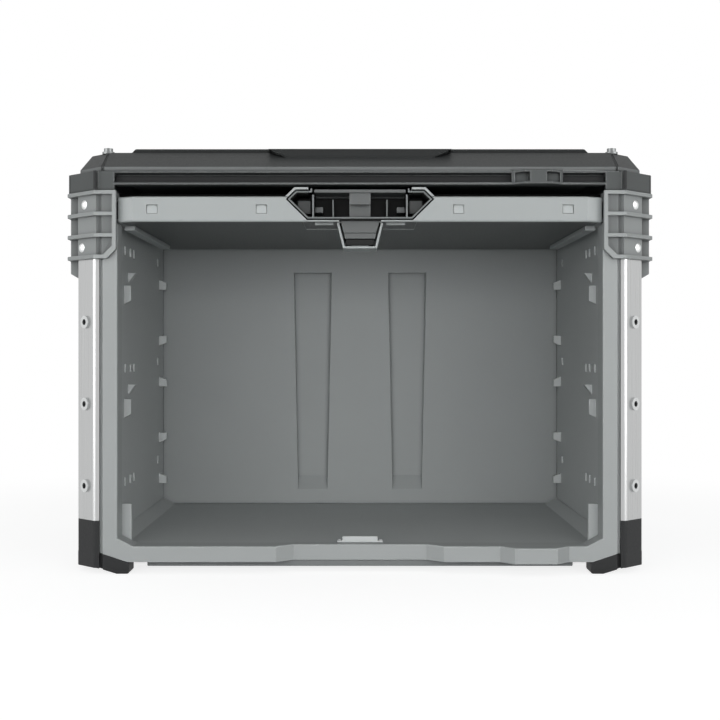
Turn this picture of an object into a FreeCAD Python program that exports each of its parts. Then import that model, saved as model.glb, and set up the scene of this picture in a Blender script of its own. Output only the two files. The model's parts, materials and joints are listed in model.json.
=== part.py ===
import FreeCAD, Part
import math
import os
from FreeCAD import Vector

# Tool storage cabinet with a flip-up door that slides back level under its lid.
# Millimetres, +X to the viewer's right, -Y to the front, +Z up.
# The origin lies on the standing surface, under the middle of the whole object.

# Opening and chamber
opening_w = 456.0        # clear width between the stiles
jamb_margin = 10.0       # the chamber is this much wider than the opening on each side
wall = 4.0               # moulded wall thickness
sill_low = 11.0          # underside of the sill above the standing surface
sill_tall = 15.0         # height of the sill's front face
jamb = 25.0              # depth of the stiles and of the sill
frame_skin = 4.0         # front thickness of a stile
frame_round = 1.5        # rounded front edge of the opening
head_notch = 2.6         # the stiles are cut back beside the put-away door
head_notch_drop = 1.0
floor_drop = 1.0         # the floor lies this much below the sill's top
floor_thick = 4.0
cove_w = 14.5            # sloped corner between floor and wall
cove_h = 7.5

# Door and its path
door_reach = 315.0       # pivot to free edge
door_tail = 12.0         # pivot to rear edge
door_thick = 23.8
door_skin = 3.0
door_inset = -6.0        # put-away free edge behind the frame plane; below zero it stands in front
door_face_inset = 1.0    # outer face behind the frame plane while the door is shut
door_side_gap = 0.6
door_sill_gap = 1.1
door_corner_gap = 1.5    # door's cut corner above the sloped corner of the frame
head_gap = 6.0           # door's outer face to the top of the frame
edge_round = 2.0         # rounded free edge of the door
tab_edge = 32.9          # door's side to its outer snap tab
tab_pitch = 102.3        # outer snap tab to the inner one
tab_w = 9.4
tab_h = 7.5
tab_gap = 0.5
tab_sink = 0.2           # foot of a snap tab's face behind the free edge
tab_lean = 1.2           # head of the face behind its foot
tab_back = 2.0
pin_r = 4.0
pin_play = 0.05          # radial running clearance of every hinge pin
pin_end_gap = 1.0
boss_len = 15.0
boss_half = 9.5
glide_w = 10.0           # flange along each side of the door's inner face
glide_h = 4.6
glide_start = 38.0       # free edge to the flange
glide_stop = 44.0        # flange's rear end in front of the pivot
glide_edge = 0.5         # door side to the flange

# Guide rails and shoes in the margin beside the opening
rail_tall = 20.0
rail_wall = 2.0
rail_gap = 0.2           # rail behind the edge of the opening
rail_front = 4.5
shoe_play = 0.3
shoe_ahead = 6.0         # shoe in front of the pivot
shoe_behind = 18.0
rail_over = 6.0          # rail past the shoe
rail_screw_count = 3
rail_screw_r = 2.0
rail_head_r = 3.2

# Rear and roof
rear_gap = 29.0          # door's rear edge to the back wall
rear_cavity = 9.0
roof_rise = 1.5          # roof panel above the top of the frame
roof_thick = 3.0
roof_start = 64.0
groove_mid = 57.0        # middle of a back wall groove from the middle of the wall
groove_top_w = 45.0
groove_low_w = 35.6
groove_foot = 18.0       # groove's foot above the floor
groove_drop = 56.0       # groove's top below the top of the frame
groove_deep = 8.0
groove_ramp = 15.7
groove_skin = 3.0

# Side shells and corners
shell_inset = 7.0        # side shell inside the posts' outer face
shell_low = 18.8         # underside of shells and corner columns
post_gap = 2.9           # dark seam between stile and post
seam_deep = 3.5
post_flat = 5.1          # front flange of a post
post_run = 19.0          # sloped face of a post, measured across
post_wall = 2.5
bend_round = 6.0         # outside of a post's bends
post_side = 33.0         # rear end of a post's side flange
foot_top = 50.0
screw_first = 32.0       # lowest post screw above the foot
screw_pitch = 77.4
screw_count = 3
screw_r = 2.0
cup_r = 6.0
cup_h = 2.0
cup_hole_r = 2.8
screw_deep = 14.0
grip_x = 14.0            # depth of the side grip
grip_w = 112.0
grip_h = 62.0
grip_drop = 62.0         # grip's top below the top of the frame
grip_skin = 4.0
side_rib_count = 3
side_rib_first = 73.2    # lowest rib above the shell's underside
side_rib_pitch = 36.0
side_rib_h = 7.0
side_rib_proud = 3.0
side_rib_margin = 26.0
rear_rib_count = 4
rear_rib_pitch = 106.0
rear_rib_w = 9.0
rear_rib_proud = 2.5
rear_rib_margin = 34.0

# Ribbed corner brackets
rib_count = 4
rib_pitch = 20.1
rib_thick = 3.75
rib_proud = 3.5
panel_thick = 2.5
bracket_in = 0.2         # bracket's inner edge beyond the opening
bracket_cut = 8.75       # cut lower inner corner
ear_proud = 10.0         # bracket's ear beyond the posts
ear_rib = 1.5            # ribs beyond the ear
ear_rear = 75.0
ear_drop = 22.2          # ear below the lowest rib
ear_bevel = 10.0
rivet_r = 4.5
rivet_h = 1.6
rivet_pin_r = 2.5
rivet_low = 11.5         # rivet centres above the bracket's lower edge
rivet_rise = 40.5
rivet_runs = (14.5, 11.5)  # lower and upper rivet along the sloped face, measured across
panel_groove_w = 4.0     # shallow groove down the bracket's panel
panel_groove_deep = 1.8

# Feet and skids
foot_reach = 11.2        # foot's inner edge inside the edge of the opening
foot_long = 60.0
foot_end = 25.0          # straight part of the foot's inner side
foot_taper = 10.0        # and how far the rest of it draws back
foot_bevel = 1.5
foot_tread = 12.0        # flat part of the sole
foot_slope = 18.0        # part of the sole that slopes up
foot_lift = 5.5
foot_inner_top = 10.4
skid_gap = 14.5          # skid's end to the foot
skid_low = 5.0
skid_start = 15.0
skid_deep = 25.0

# Lid
lid_low_tall = 18.4      # plain lower band of the lid
lid_front = 4.0          # lower band in front of the frame plane
lid_side = 11.0          # lower band beyond the posts
lid_chamfer = 33.0
lid_wall = 5.0
step_in = 11.8           # the set-back upper part, from the lower band's side
step_chamfer = 25.0
step_tall = 4.1
crown_in = 3.6           # crown's top edge, from the set-back part's side
crown_front = 42.0
crown_rear = 27.0
crown_chamfer = 22.0
crown_rise = 19.5
pad_in = 85.0            # raised pad on the crown, from the middle
pad_side = 46.2          # and from the crown's side edge
pad_tall = 4.0
pad_front = 44.0
pad_rear = 45.0
centre_ramp = 15.4       # middle block: its foot is this much narrower on each side
centre_drop = 7.0        # and lies this much below the crown
centre_front = 27.0
centre_tall = 1.6
bar_past = 2.0           # slot and rails of the lid's front, past the opening's edge
bar_low = 5.3            # lower rail above the lid's underside
rail_band = 2.6
bar_band = 5.9
slot_band = 2.5
lip_band = 2.7
bar_deep = 6.0
slot_deep = 12.0
bar_block = 16.0
strip_thick = 4.0        # dark strip in the lid's front
nose = 13.0              # lock nose in front of the frame plane
nose_mid = 166.0
nose_w = 48.0
nose_ramp = 11.5
nose_bridge_w = 15.9
nose_skin = 3.0
sill_nose_mid = 164.0
sill_nose_w = 64.8
sill_nose_ramp = 12.7
sill_back_w = 125.8      # set-back middle of the sill
sill_back_ramp = 16.0
sill_back = 14.0
lid_seam_w = 2.4
lid_seam_deep = 2.5
corner_groove_w = 3.4    # upright groove at the corners of the lower band
corner_groove_deep = 3.2
lid_seam_lean = 2.0      # slanted seam beside the corners of the set-back part and of the crown
stud_side = 18.4         # stud from the crown's side edge
stud_d = 52.0
stud_r = 6.0
stud_head_r = 4.4
stud_flange = 2.0
stud_tall = 5.5

# Handle and latch in the door's free edge
horn_in = 48.4           # raised ends of the handle: inner edge from the middle
horn_w = 11.9
handle_flare = 9.2       # widest point beyond the horn
handle_foot_x = 49.6
handle_proud = 6.4       # handle's notch above the door's outer face
handle_foot = 1.6        # lowest edge above the door's inner face
handle_widest = 2.6      # widest point below the door's outer face
handle_len = 46.0
handle_ahead = 0.4       # handle in front of the free edge
collar_wall = 2.2        # raised collar of the door round each horn
handle_gap = 1.4         # dark gap round the housing
gap_deep = 8.0
housing_wall = 2.0
housing_back = 4.0
rim_wall = 1.4           # light rim on the housing's front
rim_deep = 2.0
hook_x = 46.2            # upturned end of the rim: outer side from the middle
hook_rise = 2.4
cheek_x = 44.6           # cheek's outer side from the middle
cheek_wall = 1.6
cheek_tall = 20.3
ear_half = 4.0           # ears of the cheeks that hold the paddle's pin
ear_past = 3.0
rib_wall = 1.4
rib_x = 25.6
rib_start = 22.0
rib_tall = 18.0
block_x = 35.0           # small block in each finger gap: inner side from the middle
block_w = 7.5
block_low = 5.0          # above the housing's floor
block_tall = 5.4
block_start = 16.0
pocket_start = 26.0      # block at the back of each horn's pocket
pocket_w = 5.9           # width of its foot
pocket_bevel = 6.6
pocket_tall = 12.6
stem_half = 9.9
stem_back = 14.4
stem_tall = 13.8
paddle_thick = 3.0
paddle_drop = 2.2        # paddle's outer face below the collars
paddle_gap = 0.3
paddle_stem_start = 2.0
paddle_stem_deep = 4.0
paddle_stem_tall = 11.0
paddle_pin_r = 1.6
paddle_pin_back = 36.0
paddle_pin_past = 1.2    # pin beyond each cheek
paddle_eye_r = 3.0
mouth_back = 7.5         # latch housing behind the free edge
latch_low_x = 15.9
latch_flare = 6.0        # latch rim's wider top, each side
latch_tall = 24.3
latch_wall = 2.1
latch_gap = 1.9          # dark gap between the rim and the housing in it
latch_set = 1.0          # housing behind the rim's front
latch_line_rise = 4.8    # fine groove across the housing's front, above its lower face
latch_line_w = 0.8
latch_tongue = 3.0
latch_len = 46.0
latch_back = 2.0
bolt_rise = 3.1          # bolt above the latch rim's lower face
bolt_tall = 5.8
bolt_play = 0.4
bolt_half = 13.0
bolt_back = 2.0          # tip behind the mouth
bolt_len = 34.0
recess_in = 22.5         # shallow recess in the door's inner face, each side of the latch
recess_w = 31.0
recess_rear = 79.0       # behind the free edge
recess_deep = 0.8
slot_in = 24.8           # narrow slot through that face
slot_w = 17.8
slot_start = 18.0        # behind the free edge
slot_long = 16.0

# Keeper and door stops
keeper_half = 17.0
keeper_foot = 5.0        # foot beyond the keeper's step, each side
keeper_tall = 6.0
keeper_plate = 2.0
keeper_start = 6.0       # behind the stiles
keeper_deep = 7.5
keeper_screw_r = 1.5
keeper_head_r = 2.2
keeper_head_h = 1.2
stop_reach = 9.0         # door stop inside the edge of the opening
stop_tall = 38.0
stop_thick = 6.0
stop_play = 0.1
stop_gusset = 20.0
stop_gusset_w = 4.0

# Hooks moulded on the side walls, in rows that share one pitch
hook_reach = 8.0
hook_thick = 10.0
hook_tall = 10.3
hook_d = 113.0
hook_drop = 70.4         # top of the highest hook below the top of the frame
hook_rows = 2
leaf_reach = 7.1
leaf_thick = 3.0
leaf_tall = 18.8
leaf_d = 90.0
leaf_drop = 84.4
tooth_reach = 9.0
tooth_thick = 6.0
tooth_tall = 11.8
tooth_bevel = 3.5
tooth_back = 26.0        # rear teeth in front of the back wall
tooth_drop = 77.9        # foot of the highest upper tooth below the top of the frame
tooth_foot = 28.2        # foot of the lowest upper tooth above the floor
tooth_rows = 3
lower_tooth_drop = 144.0  # foot of the highest lower tooth below the top of the frame

# Places worked out from the sizes
opening_half = opening_w / 2
chamber_half = opening_half + jamb_margin
wall_out = chamber_half + wall
sill_top = sill_low + sill_tall
floor_top = sill_top - floor_drop
pin_z = sill_top + door_sill_gap + door_reach
door_out_z = pin_z + door_thick / 2
door_in_z = pin_z - door_thick / 2
door_half = opening_half - door_side_gap
door_rear = door_inset + door_reach + door_tail
pin_d = door_inset + door_reach
pin_shut_d = door_face_inset + door_thick / 2
chamber_depth = door_rear + rear_gap
back_out = chamber_depth + wall
body_depth = back_out + rear_cavity + wall
rib_stand = panel_thick + rib_proud
front_y = -(body_depth + nose + rib_stand) / 2 + nose
frame_top = door_out_z + head_gap
roof_low = frame_top + roof_rise
bracket_low = frame_top - (rib_count - 1) * rib_pitch - rib_thick
post_edge = wall_out + post_gap
post_bend = post_edge + post_flat
post_out = post_bend + post_run
shell_out = post_out - shell_inset
ear_out = post_out + ear_proud
foot_in = opening_half - foot_reach
foot_flat = foot_in + foot_tread
skid_half = foot_in - skid_gap
lid_half = post_out + lid_side
step_half = lid_half - step_in
crown_half = step_half - crown_in
bar_half = opening_half + bar_past
horn_out = horn_in + horn_w
lid_step = frame_top + lid_low_tall
crown_low = lid_step + step_tall
crown_top = crown_low + crown_rise
latch_top = door_in_z
latch_low = latch_top - latch_tall
handle_front = door_inset - handle_ahead
handle_rear = handle_front + handle_len
middle_y = front_y + body_depth / 2
tab_xs = (door_half - tab_edge, door_half - tab_edge - tab_pitch)
shelf_pitch = (frame_top - tooth_drop - floor_top - tooth_foot) / (tooth_rows - 1)
far = 2 * (opening_w + door_reach)   # beyond everything, for cuts
over = 1.0               # overlap of a drilling past the face it starts from

made = {}


def back(depth):
    """Y of a place that lies depth behind the frame plane."""
    return front_y + depth


def box(x, d, z):
    """Box from three (low, high) pairs: X, depth behind the frame plane, and Z."""
    corner = Vector(x[0], back(d[0]), z[0])
    return Part.makeBox(x[1] - x[0], d[1] - d[0], z[1] - z[0], corner)


def prism(points, plane, low, high):
    """Polygon in the plane "xd", "xz" or "dz", extruded along the third direction."""
    places = {
        "xd": lambda a, b: Vector(a, back(b), low),
        "xz": lambda a, b: Vector(a, back(low), b),
        "dz": lambda a, b: Vector(low, back(a), b),
    }
    along = {"xd": Vector(0, 0, 1), "xz": Vector(0, 1, 0), "dz": Vector(1, 0, 0)}
    corners = [places[plane](a, b) for a, b in points]
    face = Part.Face(Part.makePolygon(corners + corners[:1]))
    return face.extrude(along[plane] * (high - low))


def rod(centre, direction, radius, length):
    """Cylinder from a centre (X, depth, Z) along a direction."""
    x, depth, z = centre
    return Part.makeCylinder(radius, length, Vector(x, back(depth), z), Vector(*direction))


def join(first, *others):
    """One solid out of pieces that touch or overlap."""
    return first.fuse(list(others)).removeSplitter()


def minus(shape, *tools):
    """Shape with the tools cut away."""
    return shape.cut(list(tools)).removeSplitter()


def flip_x(shape):
    """The same piece on the other side."""
    return shape.mirror(Vector(0, 0, 0), Vector(1, 0, 0))


def flip_y(shape):
    """The same piece at the other end, about the middle of the body's depth."""
    return shape.mirror(Vector(0, middle_y, 0), Vector(0, 1, 0))


def shifted(points, distance):
    """Open line of points moved to its left by a distance, with mitred corners."""
    lines = []
    for (ax, ay), (bx, by) in zip(points, points[1:]):
        length = math.hypot(bx - ax, by - ay)
        ux, uy = (bx - ax) / length, (by - ay) / length
        lines.append((ax - uy * distance, ay + ux * distance, ux, uy))
    moved = [lines[0][:2]]
    for (px, py, ux, uy), (qx, qy, vx, vy) in zip(lines, lines[1:]):
        step = ((qx - px) * vy - (qy - py) * vx) / (ux * vy - uy * vx)
        moved.append((px + ux * step, py + uy * step))
    ax, ay = points[-1]
    ux, uy = lines[-1][2:]
    moved.append((ax - uy * distance, ay + ux * distance))
    return moved


def band(points, thickness):
    """Polygon of a strip that lies to the left of an open line."""
    return points + shifted(points, thickness)[::-1]


def mirrored(points):
    """Right-hand outline continued on the left, from the last point back to the first."""
    return points + [(-a, b) for a, b in points[::-1] if a > 0]


def save(name, *solids):
    """Write one node; several solids make a group."""
    shape = solids[0] if len(solids) == 1 else Part.makeCompound(list(solids))
    shape.exportStep("parts/" + name + ".step")
    made[name] = shape


def save_pair(name, solid):
    """Right-hand piece and its left-hand twin."""
    save("right_" + name, solid)
    save("left_" + name, flip_x(solid))


def save_four(name, solid):
    """Front right piece and its three twins."""
    save("front_right_" + name, solid)
    save("front_left_" + name, flip_x(solid))
    save("rear_right_" + name, flip_y(solid))
    save("rear_left_" + name, flip_y(flip_x(solid)))


def four_of(solid):
    """A small piece at all four corners."""
    right = [solid, flip_y(solid)]
    return right + [flip_x(piece) for piece in right]


# Lines that several pieces share, seen from above as (X, depth)
post_line = [
    (post_edge, 0.0),
    (post_bend, 0.0),
    (post_out, post_run),
    (post_out, post_side),
]
column_line = shifted(post_line, post_wall)


def rounded_bends(strip):
    """Round the two outer bends of a corner strip."""
    bends = [(post_bend, back(0)), (post_out, back(post_run))]
    edges = []
    for edge in strip.Edges:
        size = edge.BoundBox
        for x, y in bends:
            if size.XLength + size.YLength < 0.01 and math.hypot(size.XMin - x, size.YMin - y) < 0.01:
                edges.append(edge)
    return strip.makeFillet(bend_round, edges)


def slope_spot(z, lift, run=post_run / 2):
    """Place on a post's sloped face, at its middle or another run, lifted off the face, as (X, depth, Z)."""
    off = lift / math.sqrt(2)
    return (post_bend + run + off, run - off, z)


slope_inward = (-1, 1, 0)


def on_opening_rim(edge):
    """True for the front edges round the opening: stiles, sloped corners and the sill's top."""
    size = edge.BoundBox
    front = size.YMax < back(sill_back) + 0.01
    inside = max(abs(size.XMin), abs(size.XMax)) < opening_half + 0.01
    upright = size.ZLength > frame_top / 2 and size.YLength < 0.01 and size.YMax < back(0) + 0.01
    sill_edge = abs(size.ZMin - sill_top) < 0.01 and size.ZLength < cove_h + 0.01
    across = size.XLength > 0.01
    return front and inside and (upright or (sill_edge and across))


def nose_outline(middle, width, ramp, start):
    """Front line of a lock nose that stands out from a depth, between two slanted ends."""
    left = middle - width / 2
    right = middle + width / 2
    return [(left, start), (left + ramp, -nose), (right - ramp, -nose), (right, start)]


def frame_piece():
    """U-shaped front frame: two hollow stiles, cut back at their heads, and the stepped sill."""
    stile = box((opening_half, wall_out), (0, jamb), (sill_low, frame_top))
    hollow = box(
        (opening_half + frame_skin, wall_out),
        (frame_skin, jamb - frame_skin),
        (sill_top + cove_h, frame_top - frame_skin),
    )
    rail_notch = box(
        (opening_half, chamber_half),
        (frame_skin, jamb),
        (pin_z - rail_tall / 2, pin_z + rail_tall / 2),
    )
    cove = prism(
        [(opening_half, sill_top), (opening_half - cove_w, sill_top), (opening_half, sill_top + cove_h)],
        "xz", 0, jamb,
    )
    stile = join(minus(stile, hollow, rail_notch), cove)
    back_in = sill_back_w / 2
    back_end = back_in + sill_back_ramp
    nose_line = nose_outline(sill_nose_mid, sill_nose_w, sill_nose_ramp, 0)
    sill = prism(
        [(-wall_out, 0), (-back_end, 0), (-back_in, sill_back), (back_in, sill_back), (back_end, 0)]
        + nose_line
        + [(wall_out, 0), (wall_out, jamb), (-wall_out, jamb)],
        "xd", sill_low, sill_top,
    )
    corner_cut = prism(
        [(foot_in, foot_inner_top), (wall_out, shell_low), (wall_out, 0), (foot_in, 0)], "xz", -nose, jamb
    )
    frame = join(sill, stile, flip_x(stile))
    frame = minus(frame, corner_cut, flip_x(corner_cut))
    rim = [edge for edge in frame.Edges if on_opening_rim(edge)]
    head = box(
        (opening_half - over, opening_half + head_notch), (-over, jamb),
        (door_in_z - head_notch_drop, frame_top),
    )
    return minus(frame.makeFillet(frame_round, rim), head, flip_x(head))


def tray_piece():
    """Floor with sloped side corners and stiffening ribs underneath."""
    floor = box((-wall_out, wall_out), (jamb, back_out), (floor_top - floor_thick, floor_top))
    cove = prism(
        [(chamber_half, floor_top), (chamber_half - cove_w, floor_top), (chamber_half, floor_top + cove_h)],
        "xz", jamb, chamber_depth,
    )
    ribs = []
    rib_half = skid_half
    rib_z = (sill_low, floor_top - floor_thick)
    for x in (-rib_half, -rib_half / 2, 0, rib_half / 2, rib_half):
        ribs.append(box((x - wall / 2, x + wall / 2), (jamb, chamber_depth), rib_z))
    for depth in (jamb, chamber_depth / 2, chamber_depth - wall):
        ribs.append(box((-rib_half, rib_half), (depth, depth + wall), rib_z))
    return join(floor, cove, flip_x(cove), *ribs)


def hook_pieces():
    """Triangular hooks, leaf hooks and rear teeth of the right-hand wall."""
    pieces = []
    for row in range(hook_rows):
        top = frame_top - hook_drop - shelf_pitch * row
        outline = [(chamber_half, top), (chamber_half - hook_reach, top), (chamber_half, top - hook_tall)]
        pieces.append(prism(outline, "xz", hook_d, hook_d + hook_thick))
        top = frame_top - leaf_drop - shelf_pitch * row
        tip = chamber_half - leaf_reach
        outline = [
            (chamber_half, top), (tip, top),
            (tip, top - leaf_tall + leaf_reach / 2), (chamber_half, top - leaf_tall),
        ]
        pieces.append(prism(outline, "xz", leaf_d, leaf_d + leaf_thick))
    tip = chamber_half - tooth_reach
    tooth_end = chamber_depth - tooth_back
    tooth_span = (tooth_end - tooth_thick, tooth_end)
    for row in range(tooth_rows):
        low = frame_top - tooth_drop - shelf_pitch * row
        top = low + tooth_tall
        outline = [(chamber_half, low), (tip, low), (tip, top - tooth_bevel), (chamber_half, top)]
        pieces.append(prism(outline, "xz", *tooth_span))
    for row in range(hook_rows):
        low = frame_top - lower_tooth_drop - shelf_pitch * row
        top = low + tooth_tall
        outline = [(chamber_half, low), (tip, low + tooth_bevel), (tip, top), (chamber_half, top)]
        pieces.append(prism(outline, "xz", *tooth_span))
    return pieces


def rail_screw_depths():
    """Depths of the guide rail's screws, spread evenly along the rail."""
    start, end = rail_span()
    step = (end - start) / (rail_screw_count + 1)
    return [start + step * (index + 1) for index in range(rail_screw_count)]


def rail_span():
    """Front and rear end of a guide rail."""
    return (rail_front, pin_d + shoe_behind + rail_over)


def side_wall_piece():
    """Right-hand inner wall with its hooks and the guide rail's screw holes."""
    plate = box((chamber_half, wall_out), (jamb, back_out), (floor_top, roof_low))
    holes = [
        rod((chamber_half, depth, pin_z), (1, 0, 0), rail_screw_r, wall) for depth in rail_screw_depths()
    ]
    return minus(join(plate, *hook_pieces()), *holes)


def groove_outline(extra):
    """Outline of a back wall groove, widened all round by extra."""
    low = floor_top + groove_foot - extra
    top = frame_top - groove_drop + extra
    low_half = groove_low_w / 2 + extra
    top_half = groove_top_w / 2 + extra
    return [
        (groove_mid - low_half, low), (groove_mid + low_half, low),
        (groove_mid + top_half, top), (groove_mid - top_half, top),
    ]


def back_wall_piece():
    """Back wall with two tapered grooves pressed into it."""
    plate = box((-chamber_half, chamber_half), (chamber_depth, back_out), (floor_top, roof_low))
    face = chamber_depth
    floor_of_groove = face + groove_deep
    dish = prism(groove_outline(groove_skin), "xz", face, floor_of_groove + groove_skin)
    low = floor_top + groove_foot
    hollow = prism(groove_outline(0), "xz", face, floor_of_groove)
    ramp_half = groove_top_w / 2 + groove_skin
    ramp = prism(
        [(face, low), (floor_of_groove, low), (floor_of_groove, low + groove_ramp)],
        "dz", groove_mid - ramp_half, groove_mid + ramp_half,
    )
    hollow = hollow.cut(ramp)
    wall_plate = join(plate, dish, flip_x(dish))
    return minus(wall_plate, hollow, flip_x(hollow))


def roof_piece():
    """Flat panel that closes the chamber above the door."""
    return box((-wall_out, wall_out), (roof_start, back_out), (roof_low, roof_low + roof_thick))


def side_shell_piece():
    """Right-hand outer shell: hollow panel, corner columns, ribs and a recessed grip."""
    rear_edge = body_depth - post_side
    panel = box((wall_out, shell_out), (post_side, rear_edge), (shell_low, frame_top))
    hollow = box(
        (wall_out, shell_out - wall),
        (post_side + wall, rear_edge - wall),
        (shell_low + wall, frame_top - wall),
    )
    column = prism(
        [(wall_out, seam_deep), (post_edge, seam_deep)] + column_line + [(wall_out, post_side)],
        "xd", shell_low, frame_top,
    )
    middle = body_depth / 2
    grip_d = (middle - grip_w / 2, middle + grip_w / 2)
    grip_z = (frame_top - grip_drop - grip_h, frame_top - grip_drop)
    cup = box(
        (shell_out - grip_x - grip_skin, shell_out),
        (grip_d[0] - grip_skin, grip_d[1] + grip_skin),
        (grip_z[0] - grip_skin, grip_z[1] + grip_skin),
    )
    grip = box((shell_out - grip_x, shell_out), grip_d, grip_z)
    ribs = [
        box(
            (shell_out, shell_out + side_rib_proud),
            (post_side + side_rib_margin, rear_edge - side_rib_margin),
            (z, z + side_rib_h),
        )
        for z in (shell_low + side_rib_first + side_rib_pitch * row for row in range(side_rib_count))
    ]
    shell = join(minus(panel, hollow), column, flip_y(column), cup, *ribs)
    holes = []
    for z in screw_heights():
        hole = rod(slope_spot(z, 0), slope_inward, screw_r, screw_deep)
        holes += [hole, flip_y(hole)]
    for z, run in rivet_places():
        hole = rod(slope_spot(z, 0, run), slope_inward, rivet_pin_r, screw_deep)
        holes += [hole, flip_y(hole)]
    return minus(shell, grip, *holes)


def rear_shell_piece():
    """Hollow rear panel with upright ribs."""
    panel = box((-wall_out, wall_out), (back_out, body_depth), (shell_low, frame_top))
    hollow = box(
        (-wall_out + wall, wall_out - wall),
        (back_out, body_depth - wall),
        (shell_low + wall, frame_top - wall),
    )
    foot = box((-skid_half, skid_half), (back_out, body_depth), (sill_low, shell_low))
    first = -rear_rib_pitch * (rear_rib_count - 1) / 2
    ribs = [
        box(
            (x - rear_rib_w / 2, x + rear_rib_w / 2),
            (body_depth, body_depth + rear_rib_proud),
            (shell_low + rear_rib_margin, frame_top - rear_rib_margin),
        )
        for x in (first + rear_rib_pitch * index for index in range(rear_rib_count))
    ]
    return join(minus(panel, hollow), foot, *ribs)


def screw_heights():
    """Heights of the screws along a post."""
    return [foot_top + screw_first + screw_pitch * index for index in range(screw_count)]


def rivet_places():
    """Height and run of the two rivets in a bracket."""
    return [(bracket_low + rivet_low + rivet_rise * row, run) for row, run in enumerate(rivet_runs)]


def post_piece():
    """Bent aluminium strip round the front right corner."""
    strip = rounded_bends(prism(band(post_line, post_wall), "xd", foot_top, bracket_low))
    holes = [rod(slope_spot(z, over), slope_inward, screw_r, post_wall + 2 * over) for z in screw_heights()]
    return minus(strip, *holes)


def bracket_piece():
    """Ribbed corner bracket with an ear on the side."""
    inner_edge = opening_half + bracket_in
    skin = [
        (inner_edge, -panel_thick), (post_bend - panel_thick, -panel_thick), (post_out, post_run),
        (post_out, post_side), (ear_out, post_side), (ear_out, ear_rear),
    ]
    seat = [(inner_edge, 0), (post_edge, 0)] + column_line + [(shell_out, post_side), (shell_out, ear_rear)]
    panel = prism(skin + seat[::-1], "xd", bracket_low, frame_top)
    slope = rib_proud * math.sqrt(2)
    tip = ear_out + ear_rib
    edge = [
        (inner_edge, -rib_stand), (post_bend + slope - rib_stand, -rib_stand),
        (tip, tip - post_bend - slope), (tip, ear_rear),
    ]
    ribs = [
        prism(edge + skin[::-1], "xd", low, low + rib_thick)
        for low in (bracket_low + rib_pitch * index for index in range(rib_count))
    ]
    rib_d = (-rib_stand, -panel_thick)
    upright = box((inner_edge, inner_edge + rib_thick), rib_d, (bracket_low, frame_top))
    turn = bracket_cut + rib_thick
    brace = prism(
        [
            (inner_edge, bracket_low + bracket_cut), (inner_edge + bracket_cut, bracket_low),
            (inner_edge + turn, bracket_low + rib_thick), (inner_edge + rib_thick, bracket_low + turn),
        ],
        "xz", *rib_d,
    )
    corner = prism(
        [
            (inner_edge, bracket_low), (inner_edge + bracket_cut, bracket_low),
            (inner_edge, bracket_low + bracket_cut),
        ],
        "xz", -rib_stand, 0,
    )
    ear = prism(
        [
            (shell_out, bracket_low), (ear_out, bracket_low),
            (ear_out, bracket_low - ear_drop + ear_bevel), (shell_out, bracket_low - ear_drop),
        ],
        "xz", post_side, ear_rear,
    )
    groove_x = post_edge - panel_groove_w / 4
    groove = prism(
        [
            (groove_x - panel_groove_w / 2, -panel_thick), (groove_x + panel_groove_w / 2, -panel_thick),
            (groove_x, panel_groove_deep - panel_thick),
        ],
        "xd", bracket_low, frame_top,
    )
    drill = post_wall + 2 * over
    holes = [rod(slope_spot(z, over, run), slope_inward, rivet_pin_r, drill) for z, run in rivet_places()]
    return minus(join(panel.cut(groove), upright, brace, ear, *ribs), corner, *holes)


def dome(spot, radius, rise):
    """Low domed head standing on the sloped face at a spot, turned from an arc."""
    ball_r = (radius ** 2 + rise ** 2) / (2 * rise)
    half_turn = math.asin(radius / ball_r) / 2
    foot = Vector(0, 0, 0)
    rim = Vector(radius, 0, 0)
    middle = Vector(ball_r * math.sin(half_turn), 0, rise - ball_r + ball_r * math.cos(half_turn))
    crown = Vector(0, 0, rise)
    edges = [Part.makeLine(foot, rim), Part.Arc(rim, middle, crown).toShape(), Part.makeLine(crown, foot)]
    head = Part.Face(Part.Wire(edges)).revolve(foot, Vector(0, 0, 1), 360)
    outward = Vector(*slope_inward).normalize() * -1
    turn = FreeCAD.Rotation(Vector(0, 0, 1), outward)
    head.Placement = FreeCAD.Placement(Vector(spot[0], back(spot[1]), spot[2]), turn)
    return head


def rivet_piece(z, run):
    """Rivet with a domed head on the bracket and a pin into the corner column."""
    spot = slope_spot(z, 0, run)
    pin = rod(spot, slope_inward, rivet_pin_r, post_wall + screw_deep / 2)
    return join(dome(spot, rivet_r, rivet_h), pin)


def cup_piece(z):
    """Cup washer on the sloped face of a post."""
    outward = tuple(-part for part in slope_inward)
    ring = rod(slope_spot(z, 0), outward, cup_r, cup_h)
    return ring.cut(rod(slope_spot(z, 0), outward, cup_hole_r, cup_h))


def screw_piece(z):
    """Sunk screw in a cup washer."""
    outward = tuple(-part for part in slope_inward)
    head = rod(slope_spot(z, 0), outward, cup_hole_r, cup_h / 2)
    socket = rod(slope_spot(z, cup_h / 4), outward, screw_r / 2, cup_h)
    shank = rod(slope_spot(z, 0), slope_inward, screw_r, post_wall + screw_deep / 2)
    return join(head, shank).cut(socket)


def foot_piece():
    """Moulded foot: corner wrap and a tread with a sloped sole."""
    wrap = rounded_bends(prism(band(post_line, post_wall), "xd", shell_low, foot_top))
    sole = prism(
        [
            (foot_in, foot_bevel), (foot_in + foot_bevel, 0), (foot_flat, 0),
            (foot_flat + foot_slope, foot_lift), (post_out, foot_lift), (post_out, shell_low),
            (wall_out, shell_low), (foot_in, foot_inner_top),
        ],
        "xz", 0, foot_long,
    )
    inner_side = [(foot_in + foot_taper, foot_long), (foot_in, foot_end)]
    plan = prism([(foot_in, 0)] + post_line[1:3] + [(post_out, foot_long)] + inner_side, "xd", 0, foot_top)
    seam = box((wall_out, post_edge), (0, seam_deep), (0, shell_low))
    return join(wrap, sole.common(plan).cut(seam))


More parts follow.
